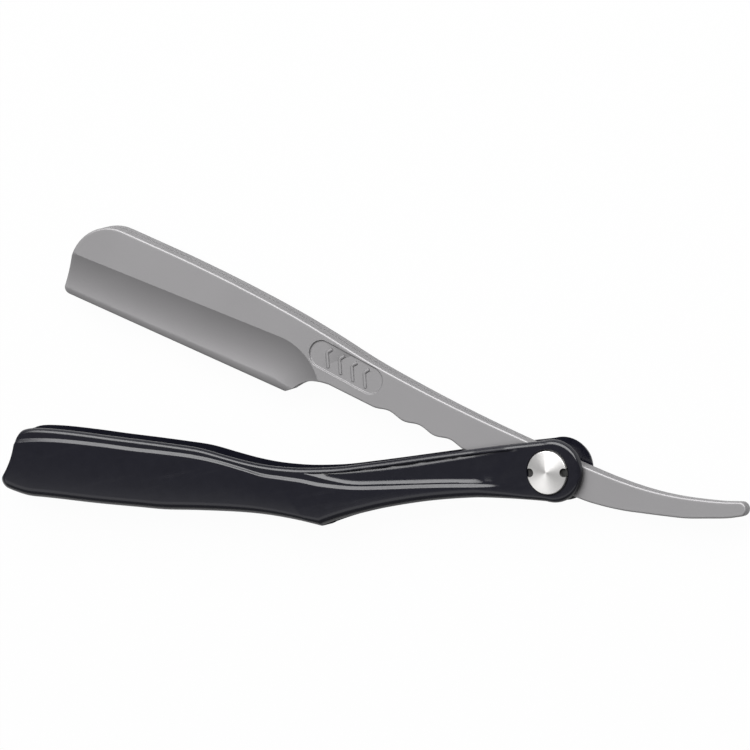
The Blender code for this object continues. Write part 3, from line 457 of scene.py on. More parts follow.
def cylinder(name, radius, low, high, place=(0, 0), sides=ROUND_SIDES):
    """An upright cylinder from one height to another, for cutting."""
    shape = bmesh.new()
    bmesh.ops.create_cone(shape, cap_ends=True, segments=sides, radius1=radius, radius2=radius,
                          depth=high - low)
    bmesh.ops.translate(shape, verts=shape.verts, vec=(place[0], place[1], (high + low) / 2))
    return object_from_bmesh(name, shape)


def box(name, low, high):
    """A box between two corners, for cutting."""
    shape = bmesh.new()
    bmesh.ops.create_cube(shape, size=1)
    low, high = Vector(low), Vector(high)
    bmesh.ops.scale(shape, verts=shape.verts, vec=high - low)
    bmesh.ops.translate(shape, verts=shape.verts, vec=(low + high) / 2)
    return object_from_bmesh(name, shape)


def prism(name, rings):
    """A closed body through rings of points, each ring as long as the next."""
    shape = bmesh.new()
    corners = [[shape.verts.new(point) for point in ring] for ring in rings]
    count = len(corners[0])
    for ring, following in zip(corners, corners[1:]):
        for index in range(count):
            after = (index + 1) % count
            shape.faces.new((ring[index], ring[after], following[after], following[index]))
    shape.faces.new(corners[0])
    shape.faces.new(list(reversed(corners[-1])))
    return object_from_bmesh(name, shape)


def finish_shading(obj, angle=SHARP_ANGLE):
    """Shade a piece smooth, with its real edges kept crisp."""
    obj.data.shade_smooth()
    obj.data.set_sharp_from_angle(angle=angle)


def place_piece(obj, turn=0.0):
    """Turn a piece about the pivot's axis and carry it from the pivot's frame to its place."""
    obj.data.transform(Matrix.Translation(PIVOT) @ Matrix.Rotation(turn, 4, "Z"))
    obj.data.update()


# The holder's outline and faces, drawn folded

def belly_points():
    """The shank's lower edge: finger scallops towards the pivot, plain towards the head."""
    length = SCALLOP_PITCH * SCALLOP_COUNT
    count = SCALLOP_COUNT * ARC_STEPS
    points = []
    for step in range(count + 1):
        along = length * step / count
        wave = (1 - math.cos(2 * math.pi * along / SCALLOP_PITCH)) / 2
        drop = BELLY_DROP + BELLY_LEAN * (1 - along / length)
        points.append((-(SCALLOP_START + along), -drop - SCALLOP_DEPTH / 2 + SCALLOP_DEPTH * wave))
    return points


def toe_points():
    """The toe, from the mouth's corner up and round to the spine."""
    corner = (-TOE_REACH + TOE_CORNER_ROUND + TOE_LEAN, -MOUTH_DROP + TOE_CORNER_ROUND)
    crown = (-TOE_REACH + TOE_ROUND, SPINE_RISE - TOE_ROUND)
    low = arc_points(corner, TOE_CORNER_ROUND, -math.pi / 2, -math.pi / 2 - TOE_LOW_SWEEP, ARC_STEPS // 2)
    high = arc_points(crown, TOE_ROUND, math.pi, math.pi - TOE_HIGH_SWEEP, ARC_STEPS)
    return [*low, *high]


def tail_tip(top, low):
    """The half round end that joins the tail's two edges."""
    middle = (Vector(top) + Vector(low)) / 2
    across = Vector(top) - middle
    start = math.atan2(across.y, across.x)
    return arc_points(middle, across.length, start, start - math.pi, ARC_STEPS)[1:-1]


def holder_outline():
    """The holder's whole outline, folded: toe, spine, tail, belly, heel notch and mouth."""
    spine = smooth_points(scaled(SPINE_SHARES, TOE_REACH, SPINE_RISE))
    tail_top = smooth_points(scaled(TAIL_TOP_SHARES, -TAIL_REACH, TANG_RISE))
    tail_low = smooth_points(scaled(TAIL_BOTTOM_SHARES, -TAIL_REACH, TANG_RISE))
    tip = tail_tip(tail_top[-1], tail_low[0])
    notch = smooth_points(scaled(NOTCH_SHARES, HEEL_REACH, -MOUTH_DROP))
    heel = (-HEEL_REACH, -MOUTH_DROP)
    return [*toe_points(), *spine, *tail_top, *tip, *tail_low, *belly_points(), *reversed(notch), heel]


def resampled(points, spacing):
    """A closed outline with no side longer than a spacing."""
    result = []
    for start, finish in zip(points, [*points[1:], points[0]]):
        start, finish = Vector(start), Vector(finish)
        count = max(1, math.ceil((finish - start).length / spacing))
        if (finish - start).length < MERGE_DISTANCE:
            continue
        for step in range(count):
            result.append(tuple(start.lerp(finish, step / count)))
    return np.array(result)


def side_distance(points, starts, sides):
    """How far each point is from the nearest of some straight sides."""
    lengths = (sides ** 2).sum(axis=1)
    nearest = np.empty(len(points))
    for index, point in enumerate(points):
        offset = point - starts
        along = np.clip((offset * sides).sum(axis=1) / lengths, 0, 1)
        gap = offset - along[:, None] * sides
        nearest[index] = math.sqrt((gap ** 2).sum(axis=1).min())
    return nearest


def line_distance(points, line):
    """How far each point is from an open line of points."""
    return side_distance(points, line[:-1], line[1:] - line[:-1])


def outline_distance(points, outline):
    """How far inside a closed outline each point lies, negative outside."""
    following = np.roll(outline, -1, axis=0)
    sides = following - outline
    nearest = side_distance(points, outline, sides)
    inside = np.zeros(len(points), dtype=bool)
    for index, (x, y) in enumerate(points):
        spans = (outline[:, 1] > y) != (following[:, 1] > y)
        with np.errstate(divide="ignore", invalid="ignore"):
            crossing = outline[:, 0] + (y - outline[:, 1]) / sides[:, 1] * sides[:, 0]
        inside[index] = np.count_nonzero(spans & (x < crossing)) % 2 == 1
    return np.where(inside, nearest, -nearest)


def offset_line(outline, inset):
    """A closed outline moved inwards, without the points that a sharp corner would fold over."""
    before, following = np.roll(outline, 1, axis=0), np.roll(outline, -1, axis=0)
    along = following - before
    along /= np.linalg.norm(along, axis=1)[:, None]
    area = (outline[:, 0] * following[:, 1] - following[:, 0] * outline[:, 1]).sum()
    inward = np.column_stack((-along[:, 1], along[:, 0])) * (1 if area > 0 else -1)
    moved = outline + inward * inset
    depth = outline_distance(moved, outline)
    return moved[depth > inset * INSET_KEPT_SHARE]


def holder_half_at(x):
    """Half the holder's thickness at x, from the flat head through the shank to the tail."""
    return np.interp(x, [-TAPER_START, -TAPER_END, TAPER_END, TAIL_REACH],
                     [HOLDER_HALF, TANG_HALF, TANG_HALF, TAIL_HALF])


def wheel_rise(points):
    """How far over the mouth each point lies, measured square to the grinding wheel's path."""
    x = points[:, 0] + RUNOUT_START
    y = points[:, 1] + MOUTH_DROP + RUNOUT_DROP
    along = x * math.cos(HOLLOW_LEAN) + y * math.sin(HOLLOW_LEAN)
    across = -x * math.sin(HOLLOW_LEAN) + y * math.cos(HOLLOW_LEAN)
    return np.where(along <= 0, across, np.hypot(along, across)) - RUNOUT_DROP


def hollow_half(rise):
    """Half the thickness of the hollow ground section at a rise over the mouth."""
    across = np.clip(rise - HOLLOW_LOW_RISE, -HOLLOW_RADIUS, HOLLOW_RADIUS)
    return HOLLOW_HALF_THICKNESS + HOLLOW_RADIUS - np.sqrt(HOLLOW_RADIUS ** 2 - across ** 2)


def lip_half(rise):
    """Half the thickness of the rounded lip at a rise over the mouth's edge."""
    share = np.clip(1 - rise / LIP_HEIGHT, 0, 1)
    return LIP_HALF_THICKNESS + (LIP_CROWN_HALF - LIP_HALF_THICKNESS) * np.sqrt(1 - share ** 2)


def eased(share):
    """A share from nought to one that starts and ends gently."""
    share = np.clip(share, 0, 1)
    return share * share * (3 - 2 * share)


def thumb_depth(points):
    """How far inside the thumb oval each point lies, negative outside."""
    x, y = points[:, 0] + THUMB_REACH, points[:, 1] - THUMB_RISE
    along = x * math.cos(THUMB_LEAN) - y * math.sin(THUMB_LEAN)
    across = x * math.sin(THUMB_LEAN) + y * math.cos(THUMB_LEAN)
    past = np.maximum(np.abs(along) - THUMB_HALF_RUN, 0)
    return THUMB_WIDTH / 2 - np.hypot(past, across)


def thumb_place(x, y):
    """Where a point of a level oval round the origin comes to lie on the holder."""
    return Matrix.Rotation(-THUMB_LEAN, 2) @ Vector((x, y)) + Vector((-THUMB_REACH, THUMB_RISE))


def thumb_line(inset):
    """The thumb oval's outline moved inwards."""
    radius = THUMB_WIDTH / 2 - inset
    ends = [*arc_points((THUMB_HALF_RUN, 0), radius, math.radians(-90), math.radians(90), ARC_STEPS),
            *arc_points((-THUMB_HALF_RUN, 0), radius, math.radians(90), math.radians(270), ARC_STEPS)]
    return np.array([tuple(thumb_place(*point)) for point in ends])


def rounding(depth, radius):
    """How much an edge's rounding takes off at a depth inside the outline."""
    short = np.clip(radius - depth, 0, radius)
    return radius - np.sqrt(radius ** 2 - short ** 2)


def holder_height(points, depth):
    """The front face's height at each point, with its depth inside the outline given."""
    flat = holder_half_at(points[:, 0])
    face = flat - rounding(depth, HOLDER_EDGE_ROUND)
    face = face - THUMB_DEPTH * eased(thumb_depth(points) / THUMB_WALL)
    hollow = hollow_half(wheel_rise(points))
    over_mouth = points[:, 1] + MOUTH_DROP
    lip = np.where((over_mouth < LIP_HEIGHT) & (points[:, 0] < -HEEL_REACH + LIP_HEIGHT),
                   lip_half(over_mouth), HOLDER_HALF)
    lowest = np.minimum(np.minimum(face, hollow), lip)
    return lowest - rounding(depth, LIP_SOFTENING)


def wheel_line(rise):
    """Points along the grinding wheel's path at one rise: a straight pass, then the turn at the heel."""
    reach = TOE_REACH - RUNOUT_START
    radius = rise + RUNOUT_DROP
    count = math.ceil(reach / LINE_SPACING)
    local = [(-reach * (1 - step / count), radius) for step in range(count)]
    local += arc_points((0, 0), radius, math.pi / 2, math.pi / 2 - RUNOUT_SWEEP, ARC_STEPS * 2)
    turn = Matrix.Rotation(HOLLOW_LEAN, 2)
    centre = Vector((-RUNOUT_START, -MOUTH_DROP - RUNOUT_DROP))
    return np.array([tuple(turn @ Vector(point) + centre) for point in local])


def crease_rise(x):
    """The rise at which the hollow meets the flat face at x."""
    short = HOLLOW_RADIUS - (float(holder_half_at(x)) - HOLLOW_HALF_THICKNESS)
    return HOLLOW_LOW_RISE + math.sqrt(HOLLOW_RADIUS ** 2 - short ** 2)


def crease_line():
    """The line where the hollow meets the flat face."""
    first = wheel_line(crease_rise(-TOE_REACH))
    return np.array([wheel_line(crease_rise(point[0]))[index] for index, point in enumerate(first)])


def lip_meeting(x):
    """The rise over the mouth at which the lip's rounding meets the hollow at x."""
    low, high = 0.0, LIP_HEIGHT
    for _ in range(CROSSING_TRIES):
        middle = (low + high) / 2
        hollow = hollow_half(wheel_rise(np.array([(x, middle - MOUTH_DROP)])))[0]
        if lip_half(middle) < hollow:
            low = middle
        else:
            high = middle
    return low


def lip_lines():
    """Lines along the mouth, closer together where the lip turns over."""
    reach = TOE_REACH - HEEL_REACH + LIP_HEIGHT
    count = math.ceil(reach / LINE_SPACING)
    places = [-TOE_REACH + reach * step / count for step in range(count + 1)]
    meetings = [lip_meeting(x) for x in places]
    lines = []
    for step in range(1, LIP_LINES + 1):
        share = 1 - math.cos(math.pi / 2 * step / LIP_LINES)
        heights = [-MOUTH_DROP + meeting * share for meeting in meetings]
        lines.append(np.column_stack((places, heights)))
    return lines


def face_lines(outline):
    """The lines that the face's triangles should follow, each with which of its points are kept.

    All are cut back from the outline's rounded band, and those of the hollow from the lip too.
    """
    band = HOLDER_EDGE_ROUND + LIP_SOFTENING
    climb = crease_rise(-TOE_REACH) - HOLLOW_LOW_RISE
    kept = []
    for step in range(-LINES_BELOW_HOLLOW, HOLLOW_LINES):
        line = wheel_line(HOLLOW_LOW_RISE + climb * step / HOLLOW_LINES)
        meeting = np.array([lip_meeting(x) if x < -HEEL_REACH + LIP_HEIGHT else 0 for x in line[:, 0]])
        good = outline_distance(line, outline) > band
        good &= line[:, 1] + MOUTH_DROP > meeting + LINE_CLEARANCE
        good &= hollow_half(wheel_rise(line)) < holder_half_at(line[:, 0]) - MERGE_DISTANCE
        kept.append((line, good))
    lines = [crease_line(), *lip_lines()]
    for place in (-TAPER_START, -TAPER_END, TAPER_END):
        lines.append(np.array([(place, -SPINE_RISE + 2 * SPINE_RISE * step / TAPER_LINE_STEPS)
                               for step in range(TAPER_LINE_STEPS + 1)]))
    kept += [(line, outline_distance(line, outline) > band) for line in lines]
    return kept


def holder_blank():
    """The holder in one closed piece: a fine front face, its mirror image and the wall between."""
    outline = resampled(holder_outline(), OUTLINE_SPACING)
    points = [tuple(point) for point in outline]
    edges = [(index, (index + 1) % len(outline)) for index in range(len(outline))]

    def add_line(line, closed=False, good=None):
        """Add a line for the triangles to follow. It breaks off at each point that isn't good."""
        last = None
        first = None
        for index, point in enumerate(line):
            if good is not None and not good[index]:
                last = None
                continue
            points.append(tuple(point))
            if last is not None:
                edges.append((last, len(points) - 1))
            if first is None:
                first = len(points) - 1
            last = len(points) - 1
        if closed:
            edges.append((last, first))

    for step in range(1, ROUNDING_LINES + 1):
        inset = HOLDER_EDGE_ROUND * (1 - math.cos(math.pi / 2 * step / ROUNDING_LINES))
        add_line(offset_line(outline, inset), closed=True)
    for inset in EVEN_INSETS:
        add_line(offset_line(outline, inset))
    for line, good in face_lines(outline):
        add_line(line, good=good)
    for share in THUMB_WALL_SHARES:
        add_line(thumb_line(THUMB_WALL * share), closed=True)
    spots = [Vector(point) for point in points]
    made = delaunay_2d_cdt(spots, edges, [], 1, TRIANGLE_TOLERANCE, False)
    flat_points = np.array([tuple(point) for point in made[0]])
    triangles = np.array(made[2])
    triangles = triangles[outline_distance(flat_points[triangles].mean(axis=1), outline) > 0].tolist()
    depth = np.maximum(outline_distance(flat_points, outline), 0)
    heights = holder_height(flat_points, depth)
    shape = bmesh.new()
    front = [shape.verts.new((x, y, height)) for (x, y), height in zip(flat_points, heights)]
    back = [shape.verts.new((x, y, -height)) for (x, y), height in zip(flat_points, heights)]
    for corners in triangles:
        shape.faces.new([front[index] for index in corners])
        shape.faces.new([back[index] for index in reversed(corners)])
    shape.verts.ensure_lookup_table()
    mirror = {vertex: back[index] for index, vertex in enumerate(front)}
    open_edges = [edge for edge in shape.edges if len(edge.link_faces) == 1 and edge.verts[0] in mirror]
    for edge in open_edges:
        start, finish = edge.verts
        shape.faces.new((start, finish, mirror[finish], mirror[start]))
    return object_from_bmesh("holder_blank", shape)


def inner_pockets(name):
    """One body of all the pockets for springs, pins and rivets."""
    shape = bmesh.new()
    for reach in SPRING_REACHES:
        made = bmesh.ops.create_cube(shape, size=1)["verts"]
        bmesh.ops.scale(shape, verts=made, vec=SPRING_POCKET)
        bmesh.ops.translate(shape, verts=made, vec=(-reach, SPRING_RISE, 0))
    for reach, rise, radius, half in PIN_HOLES:
        made = bmesh.ops.create_cone(shape, cap_ends=True, segments=PIN_SIDES, radius1=radius,
                                     radius2=radius, depth=half * 2)["verts"]
        bmesh.ops.translate(shape, verts=made, vec=(-reach, rise, 0))
    return object_from_bmesh(name, shape)


def make_holder_halves():
    """The fine holder split along the blade slot, with the lapped joint at the pivot."""
    blank = holder_blank()
    left = -TOE_REACH - OVERRUN
    tall = SPINE_RISE + OVERRUN
    lap = -STEP_RADIUS / 2
    above = HOLDER_HALF + OVERRUN

    front_space = box("front_half_space", (left, -tall, SLOT_HALF), (lap, tall, above))
    boolean(front_space, cylinder("front_end_cut", STEP_RADIUS + 2 * SLOT_HALF, -above, above + OVERRUN))
    front = copy_of(blank, "holder_front_shell")
    boolean(front, front_space, "INTERSECT")
    boolean(front, inner_pockets("front_pockets"))

    back_cut = box("back_half_cut", (left, -tall, -SLOT_HALF), (lap, tall, above))
    boolean(back_cut, cylinder("back_step_cut", STEP_RADIUS, -above, above + OVERRUN))
    back = copy_of(blank, "holder_back_shell")
    boolean(back, back_cut)
    boolean(back, cylinder("pivot_boss", BOSS_RADIUS, -BOSS_HALF, BOSS_HALF), "UNION")
    boolean(back, cylinder("pivot_hole", HUB_BORE, -above, above))
    boolean(back, inner_pockets("back_pockets"))
    drop(blank)
    return front, back


# Trees of Geometry Nodes

def node_adder(tree):
    """A short way to add a node to a tree: its settings and wires in one call."""

    def add(kind, links=(), **settings):
        node = tree.nodes.new(kind)
        for setting, value in settings.items():
            setattr(node, setting, value)
        for socket, value in dict(links).items():
            if isinstance(value, bpy.types.NodeSocket):
                tree.links.new(value, node.inputs[socket])
            else:
                node.inputs[socket].default_value = value
        return node

    return add


def new_tree(name, inputs, output):
    """A tree with named inputs of given kinds and a mesh as its output. Its numbers are lengths."""
    tree = bpy.data.node_groups.new(name, "GeometryNodeTree")
    for label, kind in inputs.items():
        socket = tree.interface.new_socket(label, in_out="INPUT", socket_type=f"NodeSocket{kind}")
        if kind == "Float":
            socket.subtype = "DISTANCE"
    tree.interface.new_socket(output, in_out="OUTPUT", socket_type="NodeSocketGeometry")
    return tree


def path_object(name, corners):
    """An open path through corners, as an object for a tree to sweep."""
    mesh = bpy.data.meshes.new(name)
    mesh.from_pydata(corners, [(index, index + 1) for index in range(len(corners) - 1)], [])
    return new_object(name, mesh)


def run_tree(obj, tree, values):
    """Run a tree on an object with its named inputs set, and keep the plain mesh."""
    modifier = obj.modifiers.new(tree.name, "NODES")
    modifier.node_group = tree
    for item in tree.interface.items_tree:
        if item.in_out == "INPUT" and item.name in values:
            modifier[item.identifier] = values[item.name]
    bake(obj)


# The grip ribs in the thumb ovals, repeated by a tree

def rib_path():
    """One bent rib's middle line, seen in the oval with its length along X."""
    return path_object("rib_path", [(THUMB_WIDTH * along, THUMB_WIDTH * up, 0) for along, up in RIB_SHARES])


def ribs_tree():
    """A node tree that sweeps a bent path into a rib and repeats it along the oval."""
    tree = new_tree("bent_ribs", {
        "Path": "Geometry", "Ribs": "Int", "Pitch": "Float", "Width": "Float", "Height": "Float",
        "Bend radius": "Float", "Start": "Float", "Finish": "Material"}, "Ribs")
    add = node_adder(tree)
    given = add("NodeGroupInput").outputs
    curve = add("GeometryNodeMeshToCurve", {"Mesh": given["Path"]}).outputs[0]
    bent = add("GeometryNodeFilletCurve", {"Curve": curve, "Radius": given["Bend radius"],
                                           "Count": RIB_BEND_STEPS}, mode="POLY")
    half_width = add("ShaderNodeMath", {0: given["Width"], 1: 0.5}, operation="MULTIPLY").outputs[0]
    ring = add("GeometryNodeCurvePrimitiveCircle", {"Resolution": RIB_SIDES, "Radius": half_width}).outputs[0]
    sweep = {"Curve": bent.outputs[0], "Profile Curve": ring, "Fill Caps": True}
    tube = add("GeometryNodeCurveToMesh", sweep)
    flatter = add("ShaderNodeMath", {0: given["Height"], 1: half_width}, operation="DIVIDE").outputs[0]
    scale = add("ShaderNodeCombineXYZ", {"X": 1.0, "Y": 1.0, "Z": flatter}).outputs[0]
    rib = add("GeometryNodeTransform", {"Geometry": tube.outputs[0], "Scale": scale}).outputs[0]
    start = add("ShaderNodeCombineXYZ", {"X": given["Start"]}).outputs[0]
    step = add("ShaderNodeCombineXYZ", {"X": given["Pitch"]}).outputs[0]
    places = add("GeometryNodeMeshLine", {"Count": given["Ribs"], "Start Location": start, "Offset": step})
    repeated = add("GeometryNodeInstanceOnPoints", {"Points": places.outputs[0], "Instance": rib}).outputs[0]
    whole = add("GeometryNodeRealizeInstances", {"Geometry": repeated}).outputs[0]
    finished = add("GeometryNodeSetMaterial", {"Geometry": whole, "Material": given["Finish"]}).outputs[0]
    tree.links.new(finished, add("NodeGroupOutput").inputs["Ribs"])
    return tree


def make_ribs(name, looks, finish, side):
    """The ribs of one thumb oval, standing on its sloping floor."""
    ribs = rib_path()
    run = looks.rib_pitch * (looks.rib_count - 1)
    run_tree(ribs, ribs_tree(), {
        "Ribs": looks.rib_count, "Pitch": looks.rib_pitch, "Width": looks.rib_width,
        "Height": looks.rib_height, "Bend radius": looks.rib_width, "Start": -run / 2, "Finish": finish})
    ribs.name = name
    for vertex in ribs.data.vertices:
        place = thumb_place(vertex.co.x, vertex.co.y)
        floor = float(holder_half_at(place.x)) - THUMB_DEPTH
        vertex.co = (place.x, place.y, (floor + vertex.co.z) * side)
    point_outward(ribs)
    return ribs


# The handle's outline and faces

def handle_lines():
    """The handle's top line and its two bottom lines, which meet at the keel."""
    top = scaled(HANDLE_TOP_SHARES, HANDLE_REACH - END_LEAN, HANDLE_DEPTH)
    bottom = scaled(HANDLE_BOTTOM_SHARES, HANDLE_REACH, HANDLE_DEPTH)
    leg = scaled(LEG_BOTTOM_SHARES, HANDLE_REACH, HANDLE_DEPTH)
    return smooth_points(top), smooth_points(bottom), smooth_points(leg)


def handle_half_at(x):
    """Half the handle's thickness at x: level as far as the waist, drawn in evenly to the ears."""
    return height_at([(-WAIST_REACH, HANDLE_HALF), (EAR_FORWARD - EAR_RADIUS, EAR_OUTER)], x)


def ledge_step_at(x):
    """How far the ledge over the shoulder stands back at x: it fades out at both ends."""
    return height_at([
        (-HANDLE_REACH, 0), (-HANDLE_REACH + LEDGE_FADE_IN, LEDGE_STEP),
        (-LEDGE_FADE_START, LEDGE_STEP), (-LEDGE_FADE_END, 0),
    ], x)


def edge_round_at(x, along_legs):
    """The rounding of an edge at x: as given along the legs, the ears' own at the ears."""
    return height_at([(-LEDGE_FADE_START, along_legs), (EAR_FORWARD - EAR_RADIUS, EAR_ROUND)], x)


def crossing_share(low, high, line):
    """How far along a section, from its bottom to its top point, it crosses a line of points."""
    below, above = 0, 1
    for _ in range(CROSSING_TRIES):
        share = (below + above) / 2
        point = low.lerp(high, share)
        if point.y < height_at(line, point.x):
            below = share
        else:
            above = share
    return below


def handle_side(low, high, half, shoulder):
    """One side of a section, top to bottom: (share of the way up, half thickness) of each point."""
    rise = high.y - low.y
    ledge = ledge_step_at(high.x)
    top_round = min(edge_round_at(high.x, LEDGE_ROUND), rise * EDGE_ROUND_SHARE)
    low_round = min(edge_round_at(low.x, HANDLE_EDGE_ROUND), rise * EDGE_ROUND_SHARE)
    width = min(SHOULDER_WIDTH, rise * SHOULDER_WIDTH_SHARE)
    gap = min(LEDGE_GAP, rise * LEDGE_GAP_SHARE)
    foot = rise * crossing_share(low, high, shoulder)
    foot = max(low_round + width + gap, min(foot, rise - top_round - gap))
    quarter = math.pi / 2
    side = []
    for step in range(CORNER_STEPS + 1):
        turn = quarter * step / CORNER_STEPS
        across = rise - top_round * (1 - math.cos(turn))
        side.append((across, half - ledge - top_round * (1 - math.sin(turn))))
    ledge_top = rise - top_round
    for step in range(1, LEDGE_POINTS):
        side.append((ledge_top + (foot - ledge_top) * step / LEDGE_POINTS, half - ledge))
    for step in range(SHOULDER_STEPS + 1):
        share = step / SHOULDER_STEPS
        side.append((foot - width * share, half - ledge * (1 - ramp(share, SHOULDER_SOFTENING))))
    for step in range(CORNER_STEPS + 1):
        turn = quarter * step / CORNER_STEPS
        side.append((low_round * (1 - math.sin(turn)), half - low_round * (1 - math.cos(turn))))
    return [(height / rise, out) for height, out in side]


def ramp(share, softening):
    """An even slope from nought to one whose two ends are rounded over a share of its length."""
    slope = 1 / (1 - softening)
    if share < softening:
        return slope * share ** 2 / (2 * softening)
    if share > 1 - softening:
        return 1 - slope * (1 - share) ** 2 / (2 * softening)
    return slope * (share - softening / 2)


def handle_section(low, high, half, shoulder):
    """One closed section of the handle, down its front and up its back."""
    low, high = Vector(low), Vector(high)
    side = handle_side(low, high, half, shoulder)
    ring = []
    for share, out in [*side, *((share, -out) for share, out in reversed(side))]:
        point = low.lerp(high, share)
        ring.append((point.x, point.y, out))
    return ring


def handle_stations():
    """Bottom point, top point and half thickness of every section of the handle, end to ears."""
    top, bottom, leg = handle_lines()
    top_reach = HANDLE_REACH - END_LEAN
    sections = []
    for step in range(END_STEPS):
        turn = math.pi / 2 * step / END_STEPS
        along = HANDLE_EDGE_ROUND * (1 - math.cos(turn))
        inset = HANDLE_EDGE_ROUND * END_ROUND_SHARE * (1 - math.sin(turn))
        x_low, x_high = -HANDLE_REACH + along, -top_reach + along
        sections.append(((x_low, height_at(bottom, x_low) + inset), (x_high, height_at(top, x_high) - inset),
                         HANDLE_HALF - inset))
    start = (-HANDLE_REACH + HANDLE_EDGE_ROUND, -top_reach + HANDLE_EDGE_ROUND)
    waist = (-WAIST_REACH + WAIST_LEAN / 2, -WAIST_REACH - WAIST_LEAN / 2)
    keel = (-KEEL_REACH, -KEEL_REACH)
    places = [start]
    for (low_from, high_from), (low_to, high_to), steps in ((start, waist, BROAD_STEPS),
                                                            (waist, keel, WAIST_STEPS)):
        for step in range(1, steps + 1):
            share = step / steps
            places.append((low_from + (low_to - low_from) * share, high_from + (high_to - high_from) * share))
    for x_low, x_high in places:
        sections.append(((x_low, height_at(bottom, x_low)), (x_high, height_at(top, x_high)),
                         handle_half_at((x_low + x_high) / 2)))
    for step in range(1, LEG_STEPS + 1):
        x = -KEEL_REACH + (KEEL_REACH + EAR_FORWARD) * step / LEG_STEPS
        low, high = height_at(leg, x), height_at(top, x)
        if x > EAR_FORWARD - EAR_RADIUS:
            reach = math.sqrt(EAR_RADIUS ** 2 - (x - EAR_FORWARD) ** 2)
            low, high = min(low, EAR_UP - reach), max(high, EAR_UP + reach)
        sections.append(((x, low), (x, high), handle_half_at(x)))
    for step in range(1, EAR_STEPS):
        turn = math.pi / 2 * step / EAR_STEPS
        x = EAR_FORWARD + EAR_RADIUS * math.sin(turn)
        reach = EAR_RADIUS * math.cos(turn)
        past = max(0, EAR_RADIUS * math.sin(turn) - (EAR_RADIUS - EAR_ROUND))
        shrink = EAR_ROUND - math.sqrt(EAR_ROUND ** 2 - past ** 2)
        sections.append(((x, EAR_UP - reach), (x, EAR_UP + reach), EAR_OUTER - shrink))
    return sections


def channel_cutter():
    """The room inside the handle: a channel with a floor, then an open slot between two legs."""
    _, bottom, _ = handle_lines()
    left = -HANDLE_REACH + CHANNEL_END_WALL + END_LEAN
    above = HANDLE_DEPTH
    right = EAR_FORWARD + EAR_RADIUS + OVERRUN
    floor = []
    for step in range(FLOOR_STEPS + 1):
        x = left + (-KEEL_REACH - left) * step / FLOOR_STEPS
        floor.append((x, height_at(bottom, x) + CHANNEL_FLOOR))
    ear_start = EAR_FORWARD - EAR_RADIUS
    lower = [*floor, (-KEEL_REACH + CHANNEL_FLOOR, -above), (ear_start, -above), (right, -above)]
    places = sorted({x for x, _ in lower} | {-WAIST_REACH, left - CHANNEL_END_LEAN})
    rings = []
    for x in places:
        half = height_at([(-WAIST_REACH, CHANNEL_HALF), (ear_start, EAR_INNER)], x)
        low = height_at(lower, x)
        rings.append([(x, low, half), (x, above, half), (x, above, -half), (x, low, -half)])
    return prism("channel_cut", rings)


def end_scoop_cutter():
    """A wide drum that hollows the handle's broad end."""
    top, bottom, _ = handle_lines()
    inset = Vector((0, HANDLE_EDGE_ROUND * END_ROUND_SHARE))
    low = Vector(bottom[0]) + inset
    high = Vector(top[0]) - inset
    chord = high - low
    radius = (chord.length ** 2 / 4 + END_SCOOP ** 2) / (2 * END_SCOOP)
    outward = Vector((-chord.y, chord.x)).normalized()
    centre = (low + high) / 2 + outward * (radius - END_SCOOP)
    deep = HANDLE_HALF + OVERRUN
    return cylinder("end_scoop_cut", radius, -deep, deep, tuple(centre), ROUND_SIDES * 4)


def flute_depths(points):
    """How deep the sunk panel of a leg is at each point: each of its sides slopes in its own way."""
    corners = scaled([*FLUTE_SHARES, FLUTE_SHARES[0]], FLUTE_REACH, HANDLE_DEPTH)
    outline = np.array(smooth_points(corners)[:-1])
    inside = outline_distance(points, outline) > 0
    upper = outline[:FLUTE_TOP_ROWS * CURVE_STEPS + 1]
    gaps = line_distance(points, upper)
    along = points[:, 0]
    over = ~inside & (points[:, 1] > np.interp(along, upper[:, 0], upper[:, 1]))
    over &= (along > upper[0, 0]) & (along < upper[-1, 0]) & (gaps < FLUTE_WALL)
    fade_in = np.clip((along - upper[0, 0]) / FLUTE_FADE, 0, 1)
    fade = fade_in * np.clip((upper[-1, 0] - along) / FLUTE_FADE, 0, 1)
    depths = np.zeros(len(points))
    depths[over] = (fade * (FLUTE_DEPTH + FLUTE_STEP) * (1 - gaps / FLUTE_WALL))[over]
    shares = np.ones(inside.sum())
    for first, last, width in FLUTE_SIDES:
        side = outline[first * CURVE_STEPS:last * CURVE_STEPS + 1]
        gap = line_distance(points[inside], side)
        shares = np.minimum(shares, 1 - np.clip(1 - gap / width, 0, 1) ** 2)
    rise = fade * np.clip(1 - gaps / FLUTE_STEP_WIDTH, 0, 1) ** 2
    depths[inside] = FLUTE_DEPTH * shares + FLUTE_STEP * rise[inside] * shares
    return depths


